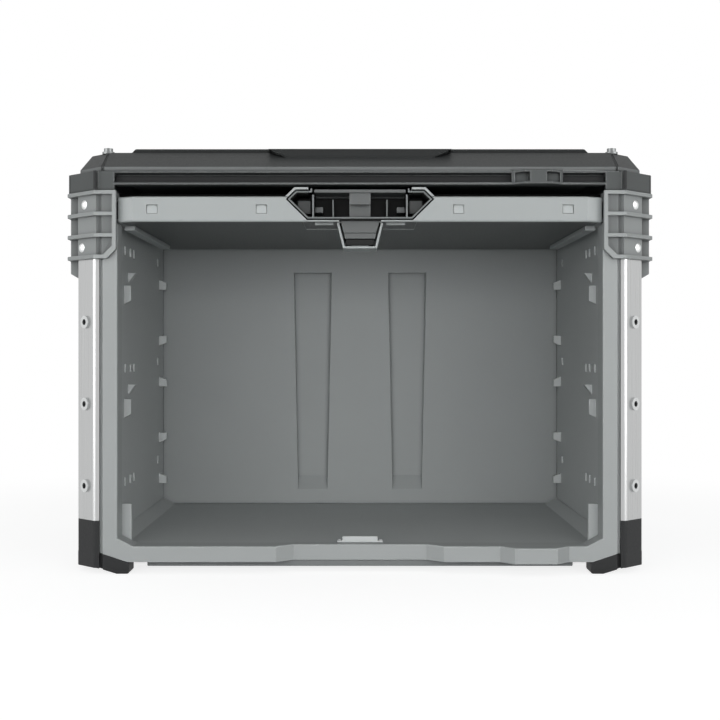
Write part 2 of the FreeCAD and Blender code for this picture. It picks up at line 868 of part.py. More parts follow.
def skid_pieces():
    """Two dark strips under the base."""
    skid_x = (-skid_half, skid_half)
    front = box(skid_x, (skid_start, skid_start + skid_deep), (skid_low, sill_low))
    rear_end = body_depth - (skid_start - wall)
    rear = box(skid_x, (back_out - wall, rear_end), (skid_low, sill_low))
    return front, rear


def lid_plan(front, half, rear, chamfer):
    """Eight-cornered plan of the lid."""
    inner = half - chamfer
    return mirrored([(inner, front), (half, front + chamfer), (half, rear - chamfer), (inner, rear)])


def loft(low_plan, low_z, high_plan, high_z):
    """Straight-sided solid between two plans."""
    wires = []
    for plan, z in ((low_plan, low_z), (high_plan, high_z)):
        corners = [Vector(x, back(d), z) for x, d in plan]
        wires.append(Part.makePolygon(corners + corners[:1]))
    return Part.makeLoft(wires, True, True)


def lid_nose_piece():
    """Lock nose on the right of the lid's front, with a bridge between two pockets."""
    low = frame_top + bar_low
    top = low + rail_band + bar_band + slot_band + lip_band
    bar_face = bar_deep - lid_front
    start = nose_mid - nose_w / 2
    end = nose_mid + nose_w / 2
    line = nose_outline(nose_mid, nose_w, nose_ramp, -lid_front)
    solid = prism(line + [(end, bar_face), (start, bar_face)], "xd", low, top)
    pocket_z = (low + rail_band, top - lip_band)
    bridge_half = nose_bridge_w / 2
    for side in (
        (start + nose_skin, nose_mid - bridge_half), (nose_mid + bridge_half, end - nose_skin)
    ):
        solid = solid.cut(box(side, (-nose, bar_face - nose_skin), pocket_z))
    return solid


def lid_piece():
    """Hollow lid: lower band, sloped crown with raised pads, and the slotted front."""
    rear = body_depth + lid_front
    low_band = prism(lid_plan(-lid_front, lid_half, rear, lid_chamfer), "xd", frame_top, lid_step)
    step_plan = lid_plan(0, step_half, body_depth, step_chamfer)
    step = prism(step_plan, "xd", lid_step, crown_low)
    crown_plan = lid_plan(crown_front, crown_half, body_depth - crown_rear, crown_chamfer)
    crown = loft(step_plan, crown_low, crown_plan, crown_top)
    pad_d = (pad_front, body_depth - pad_rear)
    pad_out = crown_half - pad_side
    pad = prism(
        [
            (pad_in - pad_tall, crown_top), (pad_out + pad_tall, crown_top),
            (pad_out, crown_top + pad_tall), (pad_in, crown_top + pad_tall),
        ],
        "xz", *pad_d,
    )
    slant = centre_ramp / centre_drop
    block_foot = (pad_in - centre_ramp, crown_top - centre_drop)
    block_top = (pad_in + slant * centre_tall, crown_top + centre_tall)
    block = prism(mirrored([block_foot, block_top]), "xz", centre_front, pad_d[1])
    inner_low = lid_plan(lid_wall - lid_front, lid_half - lid_wall, rear - lid_wall, lid_chamfer)
    inner_step = lid_plan(lid_wall, step_half - lid_wall, body_depth - lid_wall, step_chamfer)
    inner_crown = lid_plan(
        crown_front + lid_wall, crown_half - lid_wall, body_depth - crown_rear - lid_wall, crown_chamfer
    )
    cavity_low = prism(inner_low, "xd", frame_top, lid_step - lid_wall)
    cavity_top = loft(inner_step, lid_step - lid_wall, inner_crown, crown_top - lid_wall)
    shell = minus(join(low_band, step, crown, pad, flip_x(pad), block), cavity_low, cavity_top)

    low = frame_top + bar_low
    rail_top = low + rail_band
    bar_top = rail_top + bar_band
    slot_top = bar_top + slot_band
    bar_x = (-bar_half, bar_half)
    block_d = (-lid_front, bar_block - lid_front)
    front_block = box(bar_x, block_d, (low, lid_step))
    gap = box(bar_x, (-lid_front, roof_start), (frame_top, low))
    bar_cut = box(bar_x, (-lid_front, bar_deep + strip_thick - lid_front), (rail_top, bar_top))
    slot_cut = box(bar_x, (-lid_front, slot_deep - lid_front), (bar_top, slot_top))
    shell = minus(join(shell, front_block), gap, bar_cut, slot_cut)
    shell = join(shell, lid_nose_piece())

    seam_low = step_half - step_chamfer - lid_seam_lean
    seam_top = crown_half - crown_chamfer + lid_seam_lean
    strip = prism(
        [
            (seam_low - lid_seam_w / 2, lid_step), (seam_low + lid_seam_w / 2, lid_step),
            (seam_top + lid_seam_w / 2, crown_top), (seam_top - lid_seam_w / 2, crown_top),
        ],
        "xz", 0, crown_front,
    )
    inside = join(step, crown).translated(Vector(0, lid_seam_deep, 0))
    seam = strip.cut(inside)
    corner_x = lid_half - lid_chamfer
    upright = box(
        (corner_x - corner_groove_w / 2, corner_x + corner_groove_w / 2),
        (-lid_front, corner_groove_deep - lid_front), (frame_top, lid_step),
    )
    return minus(shell, seam, flip_x(seam), upright, flip_x(upright))


def lid_strip_piece():
    """Dark strip pressed into the lid's slotted front."""
    low = frame_top + bar_low + rail_band
    start = bar_deep - lid_front
    return box((-bar_half, bar_half), (start, start + strip_thick), (low, low + bar_band))


def stud_piece():
    """Bright stud on the lid near a corner."""
    foot = (crown_half - stud_side, stud_d, crown_top)
    flange = rod(foot, (0, 0, 1), stud_r, stud_flange)
    head = rod(foot, (0, 0, 1), stud_head_r, stud_tall)
    return join(flange, head)


def handle_line():
    """Right half of the handle's notch in the free edge, from the middle of its foot up to its horn."""
    foot_z = door_in_z + handle_foot
    horn_z = door_out_z + handle_proud
    return [
        (0, foot_z), (handle_foot_x, foot_z), (horn_out + handle_flare, door_out_z - handle_widest),
        (horn_out, horn_z), (horn_in, horn_z),
    ]


def handle_space():
    """Notch in the door that takes the handle."""
    return prism(mirrored(handle_line()), "xz", handle_front, handle_rear)


def snap_windows(side_gap):
    """Snap tabs in the free edge, grown by a gap for their windows."""
    half_w = tab_w / 2 + side_gap
    half_h = tab_h / 2 + side_gap
    pieces = []
    for x in tab_xs:
        piece = box(
            (x - half_w, x + half_w), (door_inset, door_inset + door_skin), (pin_z - half_h, pin_z + half_h)
        )
        pieces += [piece, flip_x(piece)]
    return pieces


def door_plan(skin):
    """Plan of the put-away door with its two cut corners, drawn in by a skin."""
    slope = cove_h / cove_w
    side_run = (door_half - opening_half + cove_w) * slope + door_corner_gap - door_sill_gap
    right = [
        (0, door_inset), (door_half - side_run / slope, door_inset), (door_half, door_inset + side_run),
        (door_half, door_rear), (0, door_rear),
    ]
    return mirrored(shifted(right, skin))


def rounded_free_edge(shape):
    """Round the long edges of the door's free end and of its cut corners."""
    edges = []
    for edge in shape.Edges:
        size = edge.BoundBox
        if size.ZLength < 0.01 and size.XLength > 0.01 and size.YMax < back(door_inset + cove_w):
            edges.append(edge)
    return shape.makeFillet(edge_round, edges)


def latch_notch():
    """Cut in the door's lower lip for the latch housing's tongue."""
    half = latch_low_x + latch_flare - latch_wall
    rear = door_inset + mouth_back + latch_set + latch_tongue
    return box((-half, half), (handle_front, rear), (door_in_z, door_in_z + handle_foot))


def door_shell_piece():
    """Outer door shell with its pivot bosses."""
    block = rounded_free_edge(prism(door_plan(0), "xd", door_in_z, door_out_z))
    hollow = prism(door_plan(door_skin), "xd", door_in_z, door_out_z - door_skin)
    boss = box(
        (door_half - boss_len, door_half), (pin_d - boss_half, door_rear - door_skin),
        (door_in_z + door_skin, door_out_z - door_skin),
    )
    bore = rod((door_half - boss_len, pin_d, pin_z), (1, 0, 0), pin_r + pin_play, boss_len)
    shell = join(block.cut(hollow), boss, flip_x(boss))
    return minus(shell, bore, flip_x(bore), handle_space(), latch_notch(), *snap_windows(tab_gap))


def snap_tab(window):
    """Tab in a snap window, with a face that leans back, and its leg."""
    size = window.BoundBox
    face = door_inset + tab_sink
    rear = door_inset + door_skin
    head = prism(
        [(face, size.ZMin), (rear, size.ZMin), (rear, size.ZMax), (face + tab_lean, size.ZMax)],
        "dz", size.XMin, size.XMax,
    )
    return head, box((size.XMin, size.XMax), (rear, rear + tab_back), (door_in_z, size.ZMax))


def door_panel_piece():
    """Inner door panel with stiffening ribs, snap tabs, and a recess with a slot beside the latch."""
    span = (door_inset + door_skin, door_rear - door_skin)
    plate = prism(door_plan(door_skin), "xd", door_in_z, door_in_z + door_skin)
    rib_z = (door_in_z, door_out_z - door_skin)
    ribs = []
    for x in tab_xs:
        rib = box((x - rib_wall, x + rib_wall), (span[0], pin_d - boss_half), rib_z)
        ribs += [rib, flip_x(rib)]
    tabs = [piece for window in snap_windows(0) for piece in snap_tab(window)]
    recess = box(
        (recess_in, recess_in + recess_w), (span[0], door_inset + recess_rear),
        (door_in_z, door_in_z + recess_deep),
    )
    slot_d = door_inset + slot_start
    slot = box((slot_in, slot_in + slot_w), (slot_d, slot_d + slot_long), (door_in_z, door_in_z + door_skin))
    cuts = [recess, flip_x(recess), slot, flip_x(slot)]
    return minus(join(plate, *ribs, *tabs), handle_space(), latch_notch(), *cuts)


def bezel_pieces():
    """Two raised collars of the door, one round each horn of the handle."""
    rising = prism(band(handle_line()[2:], -collar_wall), "xz", handle_front, handle_rear)
    collar = rising.cut(box((-far, far), (-far, far), (0, door_out_z)))
    return collar, flip_x(collar)


def housing_line():
    """Right half of the housing's outside at its front, within the dark gap."""
    return shifted(handle_line(), handle_gap)


def housing_floor():
    """Height of the housing's floor inside."""
    return housing_line()[0][1] + housing_wall


def housing_front():
    """Depth of the housing's front, under the light rim."""
    return handle_front + rim_deep


def paddle_top():
    """Height of the paddle's outer face."""
    return door_out_z + handle_proud + collar_wall - paddle_drop


def paddle_axis():
    """Depth and height of the paddle's pin."""
    return (handle_front + paddle_pin_back, paddle_top() - paddle_thick / 2)


def housing_piece():
    """Dark tray in the handle with cheeks and ribs; a narrow gap runs round its front."""
    outside = housing_line()
    front = housing_front()
    low = housing_floor()
    inside_rear = handle_rear - housing_back
    neck = prism(mirrored(outside), "xz", front, handle_rear)
    body = join(neck, prism(mirrored(handle_line()), "xz", handle_front + gap_deep, handle_rear))
    hollow = prism(mirrored(shifted(outside, housing_wall)), "xz", front, inside_rear)
    mouth = box((-horn_in, horn_in), (front, inside_rear), (low, far))
    tray = minus(body, hollow, mouth)
    axis_d, axis_z = paddle_axis()
    cheek_span = (cheek_x - cheek_wall, cheek_x)
    cheek = box(cheek_span, (front, inside_rear), (low, low + cheek_tall))
    ear = box(cheek_span, (axis_d - ear_half, axis_d + ear_half), (low, axis_z + ear_past))
    rib_span = (handle_front + rib_start, inside_rear)
    rib = box((rib_x - rib_wall / 2, rib_x + rib_wall / 2), rib_span, (low, low + rib_tall))
    inner = [cheek, ear, rib]
    solid = join(tray, *inner, *[flip_x(piece) for piece in inner])
    bore = rod((-horn_in, axis_d, axis_z), (1, 0, 0), paddle_pin_r, 2 * horn_in)
    return minus(solid, bore)


def handle_rim_pieces():
    """Light rim on the housing's front with upturned ends, bars on the cheeks, and strips on the ribs."""
    line = housing_line()
    top = line[-1][1]
    outline = line[:-1] + [(hook_x, top), (hook_x, top + hook_rise)]
    span = (handle_front, housing_front())
    side = prism(band(outline, rim_wall), "xz", *span)
    low = housing_floor()
    bar = box((cheek_x - cheek_wall, cheek_x), span, (line[0][1], low + cheek_tall))
    half = join(side, bar)
    strip_d = handle_front + rib_start
    strip_x = (rib_x - rib_wall / 2, rib_x + rib_wall / 2)
    strip = box(strip_x, (strip_d - rim_deep, strip_d), (low, low + rib_tall))
    return join(half, flip_x(half)), strip, flip_x(strip)


def handle_block_pieces():
    """Blocks on the housing's back: a small one in each finger gap and one in each horn's pocket."""
    rear = handle_rear - housing_back
    low = housing_floor() + block_low
    small = box((block_x, block_x + block_w), (handle_front + block_start, rear), (low, low + block_tall))
    start = horn_in - handle_gap
    wide = start + pocket_w + pocket_bevel
    pocket = prism(
        [
            (start, low), (start + pocket_w, low), (wide, low + pocket_bevel),
            (wide, low + pocket_tall), (start, low + pocket_tall),
        ],
        "xz", handle_front + pocket_start, rear,
    )
    return small, flip_x(small), pocket, flip_x(pocket)


def handle_stem_piece():
    """Fixed block in the middle of the handle, behind the paddle's stem."""
    low = housing_floor()
    span = (handle_front + stem_back, handle_rear - housing_back)
    return box((-stem_half, stem_half), span, (low, low + stem_tall))


def paddle_piece():
    """Finger bar with a rolled eye and a short stem."""
    half = cheek_x - cheek_wall - paddle_gap
    axis_d, axis_z = paddle_axis()
    top = paddle_top()
    plate = box((-half, half), (handle_front, axis_d), (top - paddle_thick, top))
    eye = rod((-half, axis_d, axis_z), (1, 0, 0), paddle_eye_r, 2 * half)
    stem_d = handle_front + paddle_stem_start
    stem = box(
        (-stem_half, stem_half), (stem_d, stem_d + paddle_stem_deep),
        (top - paddle_thick - paddle_stem_tall, top - paddle_thick),
    )
    bore = rod((-half, axis_d, axis_z), (1, 0, 0), paddle_pin_r + pin_play, 2 * half)
    return minus(join(plate, eye, stem), bore)


def paddle_pin_piece():
    """Pin through the ears of the housing's cheeks."""
    axis_d, axis_z = paddle_axis()
    half = cheek_x + paddle_pin_past
    return rod((-half, axis_d, axis_z), (1, 0, 0), paddle_pin_r, 2 * half)


def latch_line():
    """Outline of the latch rim, from its top on the left round its foot to its top on the right."""
    return mirrored([(latch_low_x + latch_flare, latch_top), (latch_low_x, latch_low)])[::-1]


def latch_slot_top():
    """Height of the bolt slot's upper side."""
    return latch_low + bolt_rise + bolt_tall + bolt_play


def latch_rim_piece():
    """Light tapered rim under the door, closed at its back, with a guide under the bolt."""
    mouth = door_inset + mouth_back
    rear = mouth + latch_len
    solid = prism(latch_line(), "xz", mouth, rear)
    rim = prism(band(latch_line(), latch_wall), "xz", mouth, rear).common(solid)
    end = solid.common(box((-far, far), (rear - latch_back, rear), (latch_low, latch_top)))
    guide_low = box(
        (-latch_low_x / 2, latch_low_x / 2), (mouth + latch_wall, rear),
        (latch_low, latch_low + bolt_rise - bolt_play),
    )
    return join(rim, end, guide_low)


def latch_housing_piece():
    """Grey housing within the latch rim, above the bolt, with a tongue up into the door's lip."""
    front = door_inset + mouth_back + latch_set
    rear = door_inset + mouth_back + latch_len - latch_back
    low = latch_slot_top()
    inner = shifted(latch_line(), latch_wall + latch_gap)
    top_half = inner[-1][0]
    room = box((-far, far), (front, rear), (low, latch_top))
    core = prism(inner, "xz", front, rear).common(room)
    tongue = box((-top_half, top_half), (front, front + latch_tongue), (latch_top, latch_top + handle_foot))
    line_z = low + latch_line_rise
    line = box((-far, far), (front, front + latch_line_w), (line_z, line_z + latch_line_w))
    return minus(join(core, tongue), line)


def bolt_piece():
    """Flat latch bolt with a sloped nose."""
    tip = door_inset + mouth_back + bolt_back
    low = latch_low + bolt_rise
    top = low + bolt_tall
    outline = [
        (tip, low + bolt_play), (tip + bolt_play, low), (tip + bolt_len, low), (tip + bolt_len, top),
        (tip + bolt_play, top), (tip, top - bolt_play),
    ]
    return prism(outline, "dz", -bolt_half, bolt_half)


def glide_piece():
    """Right-hand flange on the door's inner face."""
    outer = door_half - glide_edge
    span = (door_inset + glide_start, pin_d - glide_stop)
    return box((outer - glide_w, outer), span, (door_in_z - glide_h, door_in_z))


def guide_rail_piece():
    """Right-hand C-shaped rail for the door's shoe."""
    inner = opening_half + rail_gap
    outside = box((inner, chamber_half), rail_span(), (pin_z - rail_tall / 2, pin_z + rail_tall / 2))
    groove = box(
        (inner, chamber_half - rail_wall), rail_span(),
        (pin_z - rail_tall / 2 + rail_wall, pin_z + rail_tall / 2 - rail_wall),
    )
    holes = [
        rod((chamber_half - rail_wall, depth, pin_z), (1, 0, 0), rail_head_r, rail_wall)
        for depth in rail_screw_depths()
    ]
    return minus(outside, groove, *holes)


def rail_screw_pieces():
    """Flush screws that hold both guide rails."""
    pieces = []
    for depth in rail_screw_depths():
        head = rod((chamber_half - rail_wall, depth, pin_z), (1, 0, 0), rail_head_r, rail_wall)
        shank = rod((chamber_half, depth, pin_z), (1, 0, 0), rail_screw_r, wall)
        screw = join(head, shank)
        pieces += [screw, flip_x(screw)]
    return pieces


def shoe_piece():
    """Right-hand glide shoe with a hole for the pivot pin."""
    inner = opening_half + rail_gap + shoe_play
    half_h = rail_tall / 2 - rail_wall - shoe_play
    block = box(
        (inner, chamber_half - rail_wall - shoe_play), (pin_d - shoe_ahead, pin_d + shoe_behind),
        (pin_z - half_h, pin_z + half_h),
    )
    return minus(block, rod((inner, pin_d, pin_z), (1, 0, 0), pin_r, jamb_margin))


def pivot_pin_piece():
    """Right-hand pivot pin, fast in the shoe and free in the door's boss."""
    start = door_half - boss_len + pin_end_gap
    end = chamber_half - rail_wall - shoe_play
    return rod((start, pin_d, pin_z), (1, 0, 0), pin_r, end - start)


def keeper_piece():
    """Keeper behind the sill for the latch bolt."""
    start = jamb + keeper_start
    span = (start, start + keeper_deep)
    plate_half = keeper_half + keeper_foot
    plate = box((-plate_half, plate_half), span, (floor_top, floor_top + keeper_plate))
    step = box((-keeper_half, keeper_half), span, (floor_top, floor_top + keeper_tall))
    middle = start + keeper_deep / 2
    holes = [
        rod((x, middle, floor_top), (0, 0, 1), keeper_screw_r, keeper_plate) for x in keeper_screw_xs()
    ]
    return minus(join(plate, step), *holes)


def keeper_screw_xs():
    """Screws in the middle of the keeper's two feet."""
    middle = keeper_half + keeper_foot / 2
    return (-middle, middle)


def keeper_screw_pieces():
    """Two small screws in the keeper's feet."""
    depth = jamb + keeper_start + keeper_deep / 2
    top = floor_top + keeper_plate
    return [
        join(
            rod((x, depth, floor_top), (0, 0, 1), keeper_screw_r, keeper_plate),
            rod((x, depth, top), (0, 0, 1), keeper_head_r, keeper_head_h),
        )
        for x in keeper_screw_xs()
    ]


def stop_piece():
    """Right-hand door stop in the lower front corner."""
    start = jamb + stop_play
    top = floor_top + stop_tall
    stop_in = opening_half - stop_reach
    plate = prism(
        [
            (stop_in, floor_top), (chamber_half - cove_w, floor_top), (chamber_half, floor_top + cove_h),
            (chamber_half, top), (stop_in, top),
        ],
        "xz", start, start + stop_thick,
    )
    low = floor_top + cove_h
    gusset = prism(
        [(start + stop_thick, low), (start + stop_thick + stop_gusset, low), (start + stop_thick, top)],
        "dz", chamber_half - stop_gusset_w, chamber_half,
    )
    return join(plate, gusset)


os.makedirs("parts", exist_ok=True)

save("front_frame", frame_piece())
save("base_tray", tray_piece())
save("base_skids", *skid_pieces())
save_pair("side_wall", side_wall_piece())
save("back_wall", back_wall_piece())
save("roof_panel", roof_piece())
save_pair("side_shell", side_shell_piece())
save("rear_shell", rear_shell_piece())
save_four("post", post_piece())
save_four("bracket", bracket_piece())
save_four("foot", foot_piece())
save("post_screw_cups", *[one for z in screw_heights() for one in four_of(cup_piece(z))])
save("post_screws", *[one for z in screw_heights() for one in four_of(screw_piece(z))])
save("bracket_rivets", *[one for z, run in rivet_places() for one in four_of(rivet_piece(z, run))])
save("top_cover", lid_piece())
save("lid_trim_strip", lid_strip_piece())
save("lid_studs", *four_of(stud_piece()))
save_pair("guide_rail", guide_rail_piece())
save("rail_screws", *rail_screw_pieces())
save("latch_keeper", keeper_piece())
save("keeper_screws", *keeper_screw_pieces())
save_pair("door_stop", stop_piece())

save("door_outer_shell", door_shell_piece())
save("door_inner_panel", door_panel_piece())
save("handle_bezel", *bezel_pieces())
save("handle_housing", housing_piece())
save("handle_rim", *handle_rim_pieces())
save("handle_blocks", *handle_block_pieces())
save("handle_stem", handle_stem_piece())
save("paddle_pin", paddle_pin_piece())
save("latch_rim", latch_rim_piece())
save("latch_housing", latch_housing_piece())
save_pair("door_glide", glide_piece())

save_pair("glide_shoe", shoe_piece())
save_pair("pivot_pin", pivot_pin_piece())
save("latch_paddle", paddle_piece())
save("latch_bolt", bolt_piece())

whole = Part.makeCompound(list(made.values())).BoundBox
print("nodes", len(made))
print("size", round(whole.XLength, 1), round(whole.YLength, 1), round(whole.ZLength, 1))
print("x", round(whole.XMin, 1), round(whole.XMax, 1), "y", round(whole.YMin, 1), round(whole.YMax, 1))
print("z", round(whole.ZMin, 1), round(whole.ZMax, 1))
print("door pivot y", round(back(pin_d), 3), "z", round(pin_z, 3), "travel", round(pin_d - pin_shut_d, 3))
print("paddle pin y", round(back(paddle_axis()[0]), 3), "z", round(paddle_axis()[1], 3))
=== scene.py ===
# %% [markdown]
# # A tool storage cabinet in a plain studio
# The construction of this cabinet is a CAD model: walls, corner posts, brackets, lid, sliding
# door and latch, all at their real size. This lesson dresses that model. It rounds the moulded
# edges, makes one finish for each real material, adds the small moulded details that a CAD
# model leaves out, and lights the whole for one picture from straight in front. The CAD pieces
# themselves are never moved.

# %% Load the frame
import json
import math

import bmesh
import bpy
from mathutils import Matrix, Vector


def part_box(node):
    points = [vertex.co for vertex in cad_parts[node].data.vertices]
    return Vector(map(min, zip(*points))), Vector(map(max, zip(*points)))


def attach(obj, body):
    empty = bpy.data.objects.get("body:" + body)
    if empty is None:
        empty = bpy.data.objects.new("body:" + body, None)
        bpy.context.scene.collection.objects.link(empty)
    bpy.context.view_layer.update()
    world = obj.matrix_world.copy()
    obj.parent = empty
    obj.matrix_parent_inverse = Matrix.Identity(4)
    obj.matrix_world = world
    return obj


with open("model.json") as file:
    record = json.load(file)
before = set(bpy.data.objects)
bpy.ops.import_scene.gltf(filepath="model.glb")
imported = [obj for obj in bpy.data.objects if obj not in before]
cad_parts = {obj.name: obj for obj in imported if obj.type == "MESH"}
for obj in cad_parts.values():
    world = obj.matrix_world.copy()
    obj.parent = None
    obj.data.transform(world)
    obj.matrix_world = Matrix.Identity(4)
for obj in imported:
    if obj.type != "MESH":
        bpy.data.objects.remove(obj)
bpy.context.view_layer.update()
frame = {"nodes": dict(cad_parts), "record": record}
nodes = frame["nodes"]
MM = 0.001

# %% [markdown]
# ## The camera
# The picture was taken from straight in front, with no tilt: every upright stays upright, and
# all depth lines run to one point. That point gives the camera's height. The lens follows from
# how fast the back wall shrinks against the front frame. A tilted camera could also centre the
# cabinet, but its uprights would lean, so a small shift of the lens does it.

# %% Camera
picture_px = 720
focal_px = 1299
horizon_px = 352
sensor_mm = 36.0
eye_ahead = 1.220        # metres in front of the frame plane
eye_height = 0.2085
front_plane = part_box("front_left_post")[0].y

camera_data = bpy.data.cameras.new("studio_camera")
camera_data.sensor_width = sensor_mm
camera_data.lens = sensor_mm * focal_px / picture_px
camera_data.shift_y = (horizon_px - picture_px / 2) / picture_px
camera = bpy.data.objects.new("studio_camera", camera_data)
camera.location = (0.0, front_plane - eye_ahead, eye_height)
camera.rotation_euler = (math.radians(90), 0.0, 0.0)
bpy.context.scene.collection.objects.link(camera)
bpy.context.scene.camera = camera
print("camera: lens %.1f mm, shift %.4f" % (camera_data.lens, camera_data.shift_y))

# %% [markdown]
# ## One helper for nodes, one for colours
# Materials, the world and the edge tools are all trees of nodes. One small function adds a
# node, sets its properties and socket values, and links it to the nodes before it. Colours are
# written as sRGB hex values, as a colour picker shows them, and turned to the linear values
# that the renderer works in.

# %% Node and colour helpers
def add(tree, kind, values=None, links=None, **properties):
    """Add one node to a tree with its properties, socket values and links."""
    made = tree.nodes.new(kind)
    for name, value in properties.items():
        setattr(made, name, value)
    for socket, value in (values or {}).items():
        made.inputs[socket].default_value = value
    for socket, source in (links or {}).items():
        tree.links.new(source, made.inputs[socket])
    return made


def linear(code):
    """Linear RGBA of an sRGB hex colour such as "#9FA3A3"."""
    parts = [int(code[i:i + 2], 16) / 255 for i in (1, 3, 5)]
    return [p / 12.92 if p <= 0.04045 else ((p + 0.055) / 1.055) ** 2.4 for p in parts] + [1.0]


pure_white = linear("#FFFFFF")
print("white in linear values:", pure_white)

# %% [markdown]
# ## A white studio
# A product picture on white asks two things of its surroundings: to look white to the camera,
# and to light the object evenly. A paper sweep with many lamps could do both, but the lamps
# would have to be balanced against each other. Here the world does it. Rays from the camera
# and from shiny surfaces see plain white, and the rest see a sky that is bright at eye level
# and dim overhead, as between the tall panels of a studio.

# %% World
sky_low, sky_high = 0.80, 0.22        # strength at eye level and overhead
sky_top = 0.9                         # rise of a ray at which the sky is at its dimmest


def seen_directly(tree):
    """1 for camera, glossy and transmission rays, 0 for the rays that light the object."""
    path = add(tree, "ShaderNodeLightPath").outputs
    shiny = add(
        tree, "ShaderNodeMath", operation="MAXIMUM",
        links={0: path["Is Glossy Ray"], 1: path["Is Transmission Ray"]},
    )
    return add(
        tree, "ShaderNodeMath", operation="MAXIMUM",
        links={0: path["Is Camera Ray"], 1: shiny.outputs[0]},
    ).outputs[0]


world = bpy.data.worlds.new("white_studio")
world.use_nodes = True
bpy.context.scene.world = world
tree = world.node_tree
tree.nodes.clear()
direction = add(tree, "ShaderNodeTexCoord").outputs["Generated"]
heading = add(tree, "ShaderNodeSeparateXYZ", links={0: direction})
strength = add(
    tree, "ShaderNodeMapRange", {"From Max": sky_top, "To Min": sky_low, "To Max": sky_high},
    {"Value": heading.outputs["Z"]},
)
sky = add(
    tree, "ShaderNodeBackground", {"Color": pure_white}, {"Strength": strength.outputs[0]}
)
backdrop = add(tree, "ShaderNodeBackground", {"Color": pure_white, "Strength": 1.0})
studio = add(
    tree, "ShaderNodeMixShader",
    links={0: seen_directly(tree), 1: sky.outputs[0], 2: backdrop.outputs[0]},
)
add(tree, "ShaderNodeOutputWorld", links={"Surface": studio.outputs[0]})
print("world: sky %.2f at eye level, %.2f overhead" % (sky_low, sky_high))

# %% [markdown]
# ## The floor
# The cabinet stands on a pale floor that takes its shadow. A floor that only reflects would
# look grey and end in a horizon line. This one also glows for the camera and in shiny
# surfaces. Further out it fades to the same white as the world, so no line is left.

# %% Floor
floor_glow = 0.80
floor_half = 6.0
fade_start, fade_end = 0.42, 1.0      # metres from the middle of the cabinet


def new_paint(name):
    """A material whose tree of nodes is empty."""
    paint = bpy.data.materials.new(name)
    paint.use_nodes = True
    paint.node_tree.nodes.clear()
    return paint


floor_paint = new_paint("pale_studio_floor")
tree = floor_paint.node_tree
pale = add(tree, "ShaderNodeBsdfDiffuse", {"Color": linear("#8A8B8B")})
shade = add(tree, "ShaderNodeBsdfDiffuse", {"Color": linear("#A6A7A7")})
glow = add(tree, "ShaderNodeEmission", {"Color": pure_white, "Strength": floor_glow})
lit = add(tree, "ShaderNodeAddShader", links={0: shade.outputs[0], 1: glow.outputs[0]})
place = add(tree, "ShaderNodeTexCoord").outputs["Object"]
away = add(tree, "ShaderNodeVectorMath", links={0: place}, operation="LENGTH")
fade = add(
    tree, "ShaderNodeMapRange", {"From Min": fade_start, "From Max": fade_end},
    {"Value": away.outputs["Value"]}, interpolation_type="SMOOTHSTEP",
)
beyond = add(tree, "ShaderNodeEmission", {"Color": pure_white, "Strength": 1.0})
faded = add(
    tree, "ShaderNodeMixShader",
    links={0: fade.outputs[0], 1: lit.outputs[0], 2: beyond.outputs[0]},
)
ground = add(
    tree, "ShaderNodeMixShader",
    links={0: seen_directly(tree), 1: pale.outputs[0], 2: faded.outputs[0]},
)
add(tree, "ShaderNodeOutputMaterial", links={"Surface": ground.outputs[0]})

floor_mesh = bpy.data.meshes.new("studio_floor")
quarters = ((-1, -1), (1, -1), (1, 1), (-1, 1))
corners = [(x * floor_half, y * floor_half, 0) for x, y in quarters]
floor_mesh.from_pydata(corners, [], [(0, 1, 2, 3)])
floor_mesh.materials.append(floor_paint)
floor = bpy.data.objects.new("studio_floor", floor_mesh)
bpy.context.scene.collection.objects.link(floor)
print("floor: %.0f m square" % (2 * floor_half))

# %% [markdown]
# ## Soft boxes
# The front faces in the picture are lighter than the sloped top, and the chamber is lit right
# to its back wall. So the main soft box stands in front, only a little higher than the camera.
# Under the put-away door it stays dark, because no light comes from below, and the door's inner
# face there carries painted shade as well. Two tall strips at the sides shine on glossy surfaces
# alone: they draw the bright line down the bend of each aluminium post. One lamp for both jobs
# would wash out either the walls or the posts.

# %% Soft boxes
soft_boxes = [
    # name, place, size, watts, lights matt surfaces, shows in glossy ones
    ("front_box", (0.0, -1.65, 0.34), (2.6, 0.5), 20.0, True, False),
    ("left_strip", (-1.9, -1.35, 0.5), (1.3, 1.6), 26.0, False, True),
    ("right_strip", (1.9, -1.35, 0.5), (1.3, 1.6), 26.0, False, True),
]
aim = Vector((0.0, 0.0, 0.2))
for name, place, size, watts, matt, glossy in soft_boxes:
    lamp = bpy.data.lights.new(name, "AREA")
    lamp.shape = "RECTANGLE"
    lamp.size, lamp.size_y = size
    lamp.energy = watts
    soft_box = bpy.data.objects.new(name, lamp)
    soft_box.location = place
    soft_box.visible_diffuse = matt
    soft_box.visible_glossy = glossy
    soft_box.rotation_euler = (aim - Vector(place)).to_track_quat("-Z", "Y").to_euler()
    bpy.context.scene.collection.objects.link(soft_box)
bpy.context.scene.view_settings.view_transform = "Standard"
print("soft boxes:", ", ".join("%s %.0f W" % (row[0], row[3]) for row in soft_boxes))

# %% [markdown]
# ## Moulded edges
# No moulded edge is sharp: the mould's corners are cut with a small radius, and that radius
# catches a thin line of light. The radii could be drawn in CAD, where they would add thousands
# of faces, so a Bevel modifier makes them here. It should round only the edges that are both
# steep and long enough, or it would tear the small facets of curved faces. Geometry nodes mark
# those edges.

# %% Mark the edges
steep_angle = math.radians(32)


